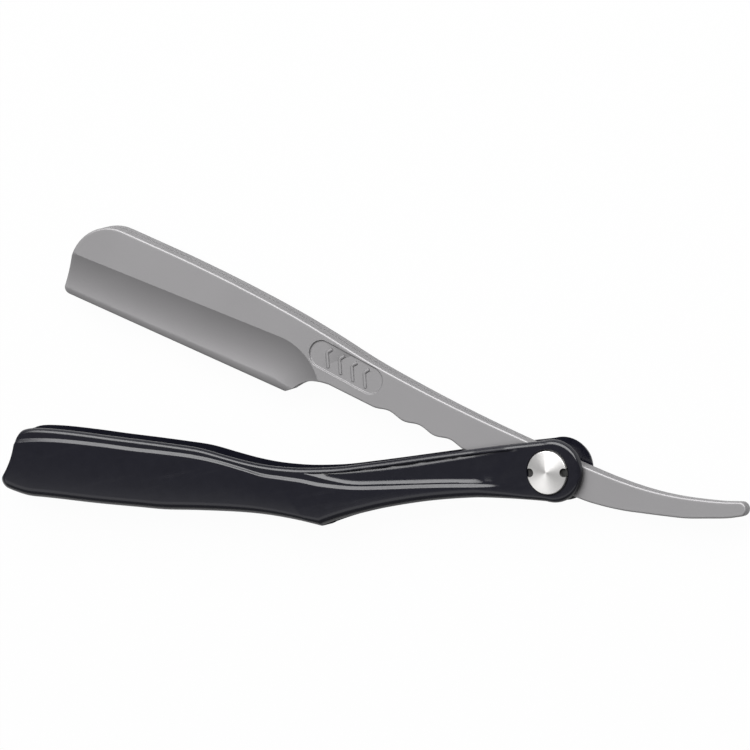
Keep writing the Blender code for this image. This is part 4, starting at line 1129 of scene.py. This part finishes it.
def make_handle_shell():
    """The moulded handle: broad channel, keel, two fluted legs and the ears."""
    shoulder = smooth_points(scaled(SHOULDER_SHARES, HANDLE_REACH, HANDLE_DEPTH))
    rings = np.array([handle_section(low, high, half, shoulder) for low, high, half in handle_stations()])
    first, last = CORNER_STEPS + 1, CORNER_STEPS + LEDGE_POINTS
    count = rings.shape[1]
    ledge = rings[:, first:last]
    depths = flute_depths(ledge[:, :, :2].reshape(-1, 2)).reshape(ledge.shape[:2])
    rings[:, first:last, 2] -= depths
    rings[:, count - last:count - first, 2] += depths[:, ::-1]
    handle = prism("handle_shell", rings.tolist())
    boolean(handle, end_scoop_cutter())
    boolean(handle, channel_cutter())
    boolean(handle, cylinder("pivot_bore", BARREL_RADIUS + PIVOT_CLEARANCE, -HANDLE_HALF - OVERRUN,
                             HANDLE_HALF + OVERRUN))
    recess = SCREW_HEAD_RADIUS + COUNTERBORE_CLEARANCE
    seat = EAR_OUTER - COUNTERBORE_DEPTH
    rim = EAR_OUTER - COUNTERBORE_CHAMFER
    flared = recess + COUNTERBORE_CHAMFER + OVERRUN
    levels = ((recess, seat), (recess, rim), (flared, EAR_OUTER + OVERRUN))
    front = prism("front_counterbore", [ring_points(radius, height) for radius, height in levels])
    boolean(handle, mirrored(front, "back_counterbore"))
    boolean(handle, front)
    return handle


def ring_points(radius, height):
    """A level ring of points round the pivot's axis."""
    turns = [2 * math.pi * step / ROUND_SIDES for step in range(ROUND_SIDES)]
    return [(radius * math.cos(turn), radius * math.sin(turn), height) for turn in turns]


# Turned pivot heads, each swept round its axis by a tree

def head_profile():
    """A screw head's face, from its centre out over the turned cone and round its rim."""
    points = [(0.0, HEAD_TOP + SCREW_CONE_RISE)]
    for step in range(1, CONE_STEPS):
        share = step / CONE_STEPS
        radius = (SCREW_HEAD_RADIUS - SCREW_RIM_ROUND) * share
        points.append((radius, HEAD_TOP + SCREW_CONE_RISE * (1 - share)))
    for step in range(RIM_STEPS + 1):
        turn = math.pi / 2 * step / RIM_STEPS
        points.append((SCREW_HEAD_RADIUS - SCREW_RIM_ROUND * (1 - math.sin(turn)),
                       HEAD_TOP - SCREW_RIM_ROUND * (1 - math.cos(turn))))
    points.append((SCREW_HEAD_RADIUS, HEAD_LOW))
    return points


def screw_profile():
    """The screw's profile: head, then its plain shank."""
    tip = HEAD_LOW - SCREW_SHANK_LENGTH
    return [*head_profile(), (SCREW_SHANK_RADIUS, HEAD_LOW), (SCREW_SHANK_RADIUS, tip), (0.0, tip)]


def nut_profile():
    """The nut's profile: the same head, then its bored barrel."""
    barrel_top = -(EAR_OUTER - COUNTERBORE_DEPTH - SEAT_CLEARANCE)
    bore = SCREW_SHANK_RADIUS + SEAT_CLEARANCE
    bore_floor = -(HEAD_LOW - SCREW_SHANK_LENGTH - SEAT_CLEARANCE)
    return [*head_profile(), (BARREL_RADIUS, HEAD_LOW), (BARREL_RADIUS, barrel_top), (bore, barrel_top),
            (bore, bore_floor), (0.0, bore_floor)]


def turned_tree():
    """A node tree that sweeps a profile round a ring and closes it at its axis."""
    tree = new_tree("turned_body", {"Profile": "Geometry", "Sides": "Int", "Ring radius": "Float",
                                    "Merge distance": "Float", "Finish": "Material"}, "Body")
    add = node_adder(tree)
    given = add("NodeGroupInput").outputs
    profile = add("GeometryNodeMeshToCurve", {"Mesh": given["Profile"]}).outputs[0]
    ring = add("GeometryNodeCurvePrimitiveCircle",
               {"Resolution": given["Sides"], "Radius": given["Ring radius"]}).outputs[0]
    swept = add("GeometryNodeCurveToMesh", {"Curve": ring, "Profile Curve": profile}).outputs[0]
    closed = add("GeometryNodeMergeByDistance",
                 {"Geometry": swept, "Distance": given["Merge distance"]}).outputs[0]
    whole = add("GeometryNodeRealizeInstances", {"Geometry": closed}).outputs[0]
    finished = add("GeometryNodeSetMaterial", {"Geometry": whole, "Material": given["Finish"]}).outputs[0]
    tree.links.new(finished, add("NodeGroupOutput").inputs["Body"])
    return tree


def turned_body(name, profile, finish):
    """A closed body turned from a profile of (radius, height) points."""
    body = path_object(name, [(radius - SCREW_HEAD_RADIUS, -height, 0) for radius, height in profile])
    run_tree(body, turned_tree(), {"Sides": ROUND_SIDES, "Ring radius": SCREW_HEAD_RADIUS,
                                   "Merge distance": MERGE_DISTANCE, "Finish": finish})
    point_outward(body)
    return body


def cut_notches(head):
    """Two half round spanner notches in a head's rim."""
    for end in (-1, 1):
        notch = cylinder("notch_cut", NOTCH_RADIUS, HEAD_TOP - NOTCH_DEPTH,
                         HEAD_TOP + SCREW_CONE_RISE + OVERRUN,
                         (end * NOTCH_REACH, 0), ROUND_SIDES // 2)
        boolean(head, notch)
    mark_notches(head)


def mark_notches(head):
    """Mark the faces inside the notches, which the finish colours nearly black as painted shade."""
    painted_notch_shade = head.data.attributes.new("painted_notch_shade", "FLOAT", "FACE")
    for face, value in zip(head.data.polygons, painted_notch_shade.data):
        x, y, z = face.center
        gap = math.hypot(abs(x) - NOTCH_REACH, y)
        inside = gap < NOTCH_RADIUS + MERGE_DISTANCE and HEAD_TOP - NOTCH_DEPTH - MERGE_DISTANCE < z
        value.value = 1.0 if inside and z < HEAD_TOP - SCREW_RIM_ROUND / 2 else 0.0


def make_pivot_heads(finish):
    """The notched screw at the front and the nut at the back."""
    screw = turned_body("pivot_screw_turned", screw_profile(), finish)
    cut_notches(screw)
    nut = turned_body("pivot_nut_turned", nut_profile(), finish)
    cut_notches(nut)
    nut.data.transform(Matrix.Rotation(math.pi, 4, "X"))
    return screw, nut


# Finishes

class NodeSheet:
    """A short way to lay out a material's nodes."""

    def __init__(self, name):
        self.material = bpy.data.materials.new(name)
        self.material.use_nodes = True
        self.tree = self.material.node_tree
        self.shader = self.tree.nodes["Principled BSDF"]
        self.add = node_adder(self.tree)

    def place(self, scale=(1, 1, 1), offset=(0, 0, 0), turn=0.0):
        """Object coordinates, moved, turned and scaled."""
        spot = self.add("ShaderNodeTexCoord").outputs["Object"]
        links = {"Vector": spot, "Location": offset, "Rotation": (0, 0, turn), "Scale": scale}
        return self.add("ShaderNodeMapping", links, vector_type="TEXTURE").outputs["Vector"]

    def attribute(self, name):
        """The value of an attribute of the piece's own mesh."""
        return self.add("ShaderNodeAttribute", attribute_name=name, attribute_type="GEOMETRY").outputs["Fac"]

    def noise(self, place, scale, detail=4.0, rough=0.5):
        """A noise pattern's value."""
        links = {"Vector": place, "Scale": scale, "Detail": detail, "Roughness": rough}
        return self.add("ShaderNodeTexNoise", links).outputs[0]

    def ranged(self, value, low, high, from_low=0.0, from_high=1.0):
        """A value brought from one range to another."""
        links = {"Value": value, "From Min": from_low, "From Max": from_high, "To Min": low, "To Max": high}
        return self.add("ShaderNodeMapRange", links).outputs[0]

    def maths(self, operation, first, second):
        """A sum, product or the like of two values."""
        return self.add("ShaderNodeMath", {0: first, 1: second}, operation=operation).outputs[0]

    def mixed(self, share, low, high):
        """A colour between two colours."""
        return self.add("ShaderNodeMix", {0: share, 6: low, 7: high}, data_type="RGBA").outputs[2]

    def toned(self, share, colour, darkest, palest):
        """A colour that a pattern makes darker and paler."""
        return self.mixed(share, shade(colour, darkest), shade(colour, palest))

    def bump(self, height, strength, distance, under=None):
        """A bump from a height, over another bump if one is given."""
        links = {"Height": height, "Strength": strength, "Distance": distance}
        if under is not None:
            links["Normal"] = under
        return self.add("ShaderNodeBump", links).outputs["Normal"]

    def wire(self, socket, value):
        """Link a pattern to the shader, or set a constant on its own socket."""
        if isinstance(value, bpy.types.NodeSocket):
            self.tree.links.new(value, self.shader.inputs[socket])
        else:
            self.shader.inputs[socket].default_value = value


def shade(colour, share):
    """A colour made lighter or darker."""
    return (*(min(1.0, value * share) for value in colour[:3]), 1.0)


def steel_finish(name, colour, roughness, grain):
    """Bead blasted steel: a fine even grain, faint clouds and paler rubbed edges."""
    sheet = NodeSheet(name)
    spot = sheet.place()
    cloud = sheet.noise(spot, scale=90.0, detail=3.0)
    speck = sheet.noise(spot, scale=9000.0, detail=2.0)
    rubbed = sheet.attribute("edge_wear")
    tone = sheet.toned(cloud, colour, darkest=0.95, palest=1.05)
    tone = sheet.mixed(sheet.ranged(speck, low=0.0, high=0.06), tone, shade(colour, 1.5))
    worn = sheet.maths("MULTIPLY", rubbed, sheet.ranged(cloud, low=0.1, high=0.5))
    tone = sheet.mixed(worn, tone, shade(colour, 1.35))
    sheet.wire("Base Color", tone)
    rough = sheet.ranged(cloud, low=roughness - 0.03, high=roughness + 0.03)
    rough = sheet.maths("SUBTRACT", rough, sheet.maths("MULTIPLY", worn, 0.12))
    sheet.wire("Roughness", rough)
    sheet.wire("Metallic", 1.0)
    sheet.wire("Normal", sheet.bump(speck, strength=grain, distance=0.00003))
    return sheet.material


def turned_finish(name, colour, roughness, pitch, ring_depth):
    """Steel faced on a lathe: fine rings round the pivot's axis."""
    sheet = NodeSheet(name)
    spot = sheet.place(offset=tuple(PIVOT))
    waves = {"Vector": spot, "Scale": WAVE_SPACING / pitch, "Distortion": 0.6, "Detail": 1.0,
             "Detail Scale": 1.5}
    rings = sheet.add("ShaderNodeTexWave", waves, wave_type="RINGS", rings_direction="Z").outputs["Fac"]
    cloud = sheet.noise(spot, scale=260.0, detail=3.0)
    speck = sheet.noise(spot, scale=6000.0, detail=2.0)
    painted_notch_shade = sheet.attribute("painted_notch_shade")
    tone = sheet.toned(cloud, colour, darkest=0.92, palest=1.06)
    # Painted shade: the faces inside the notches are coloured nearly black, and the next lines also make them
    # rougher
    sheet.wire("Base Color", sheet.mixed(painted_notch_shade, tone, shade(colour, 0.10)))
    rough = sheet.ranged(speck, low=roughness - 0.03, high=roughness + 0.05)
    sheet.wire("Roughness", sheet.maths("ADD", rough, sheet.maths("MULTIPLY", painted_notch_shade, 0.25)))
    sheet.wire("Metallic", 1.0)
    sheet.wire("Anisotropic", 0.55)
    sheet.wire("Anisotropic Rotation", 0.25)
    around = sheet.add("ShaderNodeTangent", direction_type="RADIAL", axis="Z").outputs["Tangent"]
    sheet.wire("Tangent", around)
    sheet.wire("Normal", sheet.bump(rings, strength=ring_depth, distance=0.00001))
    return sheet.material


def resin_finish(name, colour, roughness, ripple):
    """Glossy moulded resin: a slight ripple from the mould, dust haze and faint handling marks."""
    sheet = NodeSheet(name)
    spot = sheet.place()
    wave = sheet.noise(spot, scale=140.0, detail=2.0)
    haze = sheet.noise(spot, scale=700.0, detail=5.0, rough=0.6)
    lengthwise = sheet.place(scale=(0.02, 0.0012, 0.0012), turn=0.2)
    scuffs = sheet.noise(lengthwise, scale=1.0, detail=6.0, rough=0.7)
    sheet.wire("Base Color", sheet.toned(haze, colour, darkest=0.85, palest=1.2))
    hazy = sheet.ranged(haze, low=roughness - 0.03, high=roughness + 0.04)
    scuffed = sheet.ranged(scuffs, low=0.0, high=0.10, from_low=0.55, from_high=0.8)
    rough = sheet.maths("ADD", hazy, scuffed)
    sheet.wire("Roughness", rough)
    sheet.wire("IOR", 1.5)
    broad = sheet.bump(wave, strength=ripple, distance=0.0004)
    sheet.wire("Normal", sheet.bump(haze, strength=0.03, distance=0.00005, under=broad))
    return sheet.material


def drawn_finish(name, colour, roughness):
    """Drawn spring wire or strip: fine lines along it."""
    sheet = NodeSheet(name)
    lengthwise = sheet.place(scale=(0.02, 0.0001, 0.0001), turn=-OPEN_ANGLE)
    lines = sheet.noise(lengthwise, scale=1.0, detail=4.0, rough=0.6)
    cloud = sheet.noise(sheet.place(), scale=400.0, detail=3.0)
    sheet.wire("Base Color", sheet.toned(cloud, colour, darkest=0.9, palest=1.08))
    sheet.wire("Roughness", sheet.ranged(lines, low=roughness - 0.06, high=roughness + 0.08))
    sheet.wire("Metallic", 1.0)
    sheet.wire("Normal", sheet.bump(lines, strength=0.15, distance=0.00001))
    return sheet.material


def nylon_finish(name, colour, roughness):
    """Pressed nylon sheet: matt, with faint clouds and a fine tooth."""
    sheet = NodeSheet(name)
    spot = sheet.place()
    cloud = sheet.noise(spot, scale=500.0, detail=3.0)
    tooth = sheet.noise(spot, scale=8000.0, detail=2.0)
    sheet.wire("Base Color", sheet.toned(cloud, colour, darkest=0.94, palest=1.03))
    sheet.wire("Roughness", sheet.ranged(cloud, low=roughness - 0.05, high=roughness + 0.08))
    sheet.wire("Normal", sheet.bump(tooth, strength=0.12, distance=0.00002))
    return sheet.material


def wear_attribute(obj):
    """Mark how near each vertex of a holder half is to the outline, before it is placed."""
    outline = resampled(holder_outline(), LINE_SPACING)
    count = len(obj.data.vertices)
    places = np.empty(count * 3)
    obj.data.vertices.foreach_get("co", places)
    places = places.reshape(-1, 3)
    depth = np.abs(outline_distance(places[:, :2], outline))
    wear = np.clip(1 - depth / WEAR_REACH, 0, 1)
    attribute = obj.data.attributes.new("edge_wear", "FLOAT", "POINT")
    attribute.data.foreach_set("value", wear)


def give_finish(obj, material):
    """One material for a whole piece."""
    obj.data.materials.clear()
    obj.data.materials.append(material)


# What a user would change

def colour_choice(name, description, default):
    """A colour that a user can change."""
    return FloatVectorProperty(name=name, description=description, subtype="COLOR", size=4,
                               default=(*default, 1.0), min=0, max=1)


def share_choice(name, description, default, low=0):
    """A share up to one that a user can change."""
    return FloatProperty(name=name, description=description, default=default, min=low, max=1,
                         subtype="FACTOR")


def length_choice(name, description, default, low, high):
    """A length that a user can change: its default, its least and its most."""
    return FloatProperty(name=name, description=description, default=default, min=low, max=high,
                         unit="LENGTH")


def light_choice(name, description, default, high=20):
    """A brightness that a user can change."""
    return FloatProperty(name=name, description=description, default=default, min=0, max=high)


class RazorHandleLooks(bpy.types.PropertyGroup):
    """The moulded handle's finish."""

    colour: colour_choice("Resin colour", "Colour of the moulded resin", (0.0045, 0.0045, 0.0080))
    roughness: share_choice("Resin roughness", "How dull the resin's gloss is", 0.21, low=0.04)
    ripple: share_choice("Mould ripple", "How much the gloss wavers", 0.02)


class RazorHolderLooks(bpy.types.PropertyGroup):
    """The steel holder's finish and its thumb grip."""

    colour: colour_choice("Steel colour", "Colour of the bead blasted steel", (0.285, 0.28, 0.285))
    roughness: share_choice("Steel roughness", "How dull the steel is", 0.66, low=0.05)
    grain: share_choice("Blasted grain", "Strength of the fine grain", 0.10)
    rib_count: IntProperty(
        name="Ribs", description="Raised bent ribs in each thumb oval", default=4, min=1, max=8)
    rib_pitch: length_choice("Rib pitch", "Distance from one rib to the next", 0.00275, 0.001, 0.006)
    rib_height: length_choice(
        "Rib height", "How far a rib stands over the oval's floor", 0.00022, 0.0001, 0.0003)
    rib_width: length_choice("Rib width", "Width of a rib at the oval's floor", 0.0007, 0.0002, 0.0012)


class RazorPivotLooks(bpy.types.PropertyGroup):
    """The pivot's turned and drawn metals."""

    colour: colour_choice("Turned steel colour", "Colour of the turned pivot heads", (0.76, 0.75, 0.74))
    roughness: share_choice("Turned steel roughness", "How dull the turned faces are", 0.44, low=0.05)
    ring_pitch: length_choice("Ring pitch", "Distance between turning marks", 0.00012, 0.00004, 0.0006)
    brass: colour_choice("Brass colour", "Colour of the bush", (0.72, 0.52, 0.22))
    nylon: colour_choice("Nylon colour", "Colour of the friction washers", (0.78, 0.77, 0.72))


class RazorStageLooks(bpy.types.PropertyGroup):
    """The floor, the room and the lamps."""

    floor_colour: colour_choice("Floor colour", "Colour of the pale floor", (0.45, 0.45, 0.45))
    sky: light_choice("Room light", "Strength of the even light all round", 0.18, high=2)
    high_lamp: light_choice("High lamp", "Brightness of the broad lamp behind and over the spine", 7.2)
    low_lamp: light_choice("Low lamp", "Brightness of the lamp behind the spine, near the floor", 0.3)
    front_lamp: light_choice("Front lamp", "Brightness of the dim lamp on the edge's side", 0.9)


# Operators: one for each group of pieces and one for the stage

class RAZOR_OT_stage(bpy.types.Operator):
    """Make the pale floor, the soft lamps and the camera at the photograph's angle"""

    bl_idname = "razor.stage"
    bl_label = "Stage"

    def execute(self, context):
        looks = context.scene.razor_stage
        low, high = CAD_BOX
        make_floor(low.z, looks.floor_colour)
        make_room(looks.sky)
        make_lamps(looks)
        make_camera()
        context.scene.view_settings.view_transform = "Standard"
        return {"FINISHED"}


class RAZOR_OT_handle(bpy.types.Operator):
    """Make the fine handle shell in glossy resin"""

    bl_idname = "razor.handle"
    bl_label = "Handle"

    def execute(self, context):
        looks = context.scene.razor_handle
        shell = make_handle_shell()
        finish_shading(shell)
        place_piece(shell)
        give_finish(shell, resin_finish("black_resin_moulded", looks.colour, looks.roughness, looks.ripple))
        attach(shell, "handle")
        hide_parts("handle")
        return {"FINISHED"}


class RAZOR_OT_holder(bpy.types.Operator):
    """Make the fine shells of both holder halves in blasted steel"""

    bl_idname = "razor.holder"
    bl_label = "Holder halves"

    def execute(self, context):
        looks = context.scene.razor_holder
        finish = steel_finish("blasted_steel_grained", looks.colour, looks.roughness, looks.grain)
        for name, side in (("thumb_ribs_front", 1), ("thumb_ribs_back", -1)):
            ribs = make_ribs(name, looks, finish, side)
            finish_shading(ribs, RIB_SHARP_ANGLE)
            place_piece(ribs, -OPEN_ANGLE)
            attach(ribs, "holder")
        for shell, node in zip(make_holder_halves(), ("holder_front", "holder_back")):
            wear_attribute(shell)
            finish_shading(shell, HOLDER_SHARP_ANGLE)
            place_piece(shell, -OPEN_ANGLE)
            give_finish(shell, finish)
            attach(shell, "holder")
            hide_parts(node)
        return {"FINISHED"}


class RAZOR_OT_pivot(bpy.types.Operator):
    """Make the turned pivot heads and finish the pieces inside the pivot and the holder"""

    bl_idname = "razor.pivot"
    bl_label = "Pivot and inner pieces"

    def execute(self, context):
        looks = context.scene.razor_pivot
        turned = turned_finish("turned_steel_rings", looks.colour, looks.roughness, looks.ring_pitch,
                               ring_depth=0.25)
        for head, node in zip(make_pivot_heads(turned), ("pivot_screw", "pivot_nut")):
            finish_shading(head)
            place_piece(head)
            give_finish(head, turned)
            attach(head, "handle")
            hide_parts(node)
        drawn = drawn_finish("spring_steel_drawn", SPRING_STEEL_COLOUR, roughness=0.30)
        pins = drawn_finish("pin_steel_drawn", looks.colour, roughness=0.26)
        brass = turned_finish("brass_turned", looks.brass, roughness=0.35, pitch=looks.ring_pitch,
                              ring_depth=0.2)
        nylon = nylon_finish("white_nylon_pressed", looks.nylon, roughness=0.5)
        finishes = {
            "clamp_spring_toe": drawn, "clamp_spring_heel": drawn, "blade_stop_pin_toe": pins,
            "blade_stop_pin_heel": pins, "toe_dowel": pins, "shank_rivet_fore": pins,
            "shank_rivet_aft": pins, "pivot_bush": brass, "friction_washer_front": nylon,
            "friction_washer_back": nylon,
        }
        for node, finish in finishes.items():
            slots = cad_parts[node].material_slots
            if not slots:
                raise RuntimeError(f"{node} has no material slot")
            for slot in slots:
                slot.material = finish
        return {"FINISHED"}


# The stage: floor, room, lamps and camera

def make_floor(height, colour):
    """A wide pale floor under the razor, white to the eye except where the razor shades it."""
    shape = bmesh.new()
    bmesh.ops.create_grid(shape, x_segments=FLOOR_DIVISIONS, y_segments=FLOOR_DIVISIONS,
                          size=FLOOR_HALF_WIDTH)
    mesh = bpy.data.meshes.new("floor")
    shape.to_mesh(mesh)
    shape.free()
    floor = new_object("floor", mesh)
    mesh.transform(Matrix.Translation((0, 0, height - FLOOR_GAP)))
    sheet = NodeSheet("floor_paint")
    sheet.wire("Base Color", colour)
    sheet.wire("Roughness", FLOOR_ROUGHNESS)
    path = sheet.add("ShaderNodeLightPath").outputs
    white = sheet.add("ShaderNodeEmission", {"Color": (1, 1, 1, 1), "Strength": 1.0}).outputs[0]
    mirrored_share = sheet.maths("MAXIMUM", path["Is Glossy Ray"], path["Is Transmission Ray"])
    share = sheet.maths("MAXIMUM", sheet.maths("MULTIPLY", path["Is Camera Ray"], FLOOR_SEEN),
                        sheet.maths("MULTIPLY", mirrored_share, FLOOR_MIRRORED))
    mix = sheet.add("ShaderNodeMixShader", {0: share})
    sheet.tree.links.new(sheet.shader.outputs[0], mix.inputs[1])
    sheet.tree.links.new(white, mix.inputs[2])
    sheet.tree.links.new(mix.outputs[0], sheet.tree.nodes["Material Output"].inputs["Surface"])
    give_finish(floor, sheet.material)


def make_room(strength):
    """Even light all round."""
    world = bpy.data.worlds.new("room")
    bpy.context.scene.world = world
    world.use_nodes = True
    sky = world.node_tree.nodes["Background"]
    sky.inputs["Color"].default_value = (1, 1, 1, 1)
    sky.inputs["Strength"].default_value = strength


def level_axes(back):
    """The directions across and upward of something level whose back points the given way."""
    across = (Vector((1, 0, 0)) - back * back.x).normalized()
    return across, back.cross(across)


def aimed(name, data, centre, back, distance):
    """A lamp or camera that looks at a place from a distance."""
    across, upward = level_axes(back)
    turn = Matrix((across, upward, back)).transposed().to_4x4()
    obj = new_object(name, data)
    obj.matrix_world = Matrix.Translation(centre + back * distance) @ turn
    return obj


def make_lamps(looks):
    """Soft lamps that look at the razor; the brightness of each is what a mirror would show of it."""
    for name, towards, (width, height) in LAMPS:
        lamp = bpy.data.lights.new(name, "AREA")
        lamp.shape = "RECTANGLE"
        lamp.size, lamp.size_y = width, height
        lamp.energy = getattr(looks, name) * math.pi * width * height
        aimed(name, lamp, PIVOT + LAMP_AIM, Vector(towards).normalized(), LAMP_DISTANCE)


def make_camera():
    """The camera at the photograph's angle."""
    across, upward = level_axes(VIEW_BACK)
    centre = PIVOT + Vector((0, 0, VIEW_RISE)) - across * VIEW_LEFT + upward * VIEW_UP
    camera = bpy.data.cameras.new("camera")
    camera.sensor_width = SENSOR_WIDTH
    camera.lens = SENSOR_WIDTH * VIEW_DISTANCE / VIEW_WIDTH
    camera.clip_start = VIEW_DISTANCE * 0.5
    camera.clip_end = VIEW_DISTANCE * 3
    bpy.context.scene.camera = aimed("camera", camera, centre, VIEW_BACK, VIEW_DISTANCE)


# The panel, and what Blender is told of the add-on

class RAZOR_PT_panel(bpy.types.Panel):
    """The razor's pieces and finishes in the 3D view's sidebar"""

    bl_label = "Straight razor"
    bl_idname = "RAZOR_PT_panel"
    bl_space_type = "VIEW_3D"
    bl_region_type = "UI"
    bl_category = "Razor"

    def draw(self, context):
        groups = (
            (RAZOR_OT_handle, context.scene.razor_handle), (RAZOR_OT_holder, context.scene.razor_holder),
            (RAZOR_OT_pivot, context.scene.razor_pivot), (RAZOR_OT_stage, context.scene.razor_stage),
        )
        for operator, looks in groups:
            section = self.layout.box()
            section.operator(operator.bl_idname)
            for name in looks.__annotations__:
                section.prop(looks, name)


LOOKS = {
    "razor_handle": RazorHandleLooks, "razor_holder": RazorHolderLooks,
    "razor_pivot": RazorPivotLooks, "razor_stage": RazorStageLooks,
}
OPERATORS = (RAZOR_OT_handle, RAZOR_OT_holder, RAZOR_OT_pivot, RAZOR_OT_stage)


def register():
    """Make the panel, the operators and their properties known to Blender."""
    for name, group in LOOKS.items():
        bpy.utils.register_class(group)
        setattr(bpy.types.Scene, name, PointerProperty(type=group))
    for operator in OPERATORS:
        bpy.utils.register_class(operator)
    bpy.utils.register_class(RAZOR_PT_panel)


def unregister():
    """Take the panel, the operators and their properties out of Blender again."""
    bpy.utils.unregister_class(RAZOR_PT_panel)
    for operator in reversed(OPERATORS):
        bpy.utils.unregister_class(operator)
    for name, group in LOOKS.items():
        delattr(bpy.types.Scene, name)
        bpy.utils.unregister_class(group)


def main():
    """Make every piece and the stage."""
    register()
    bpy.ops.razor.handle()
    bpy.ops.razor.holder()
    bpy.ops.razor.pivot()
    bpy.ops.razor.stage()


if __name__ == "__main__":
    main()
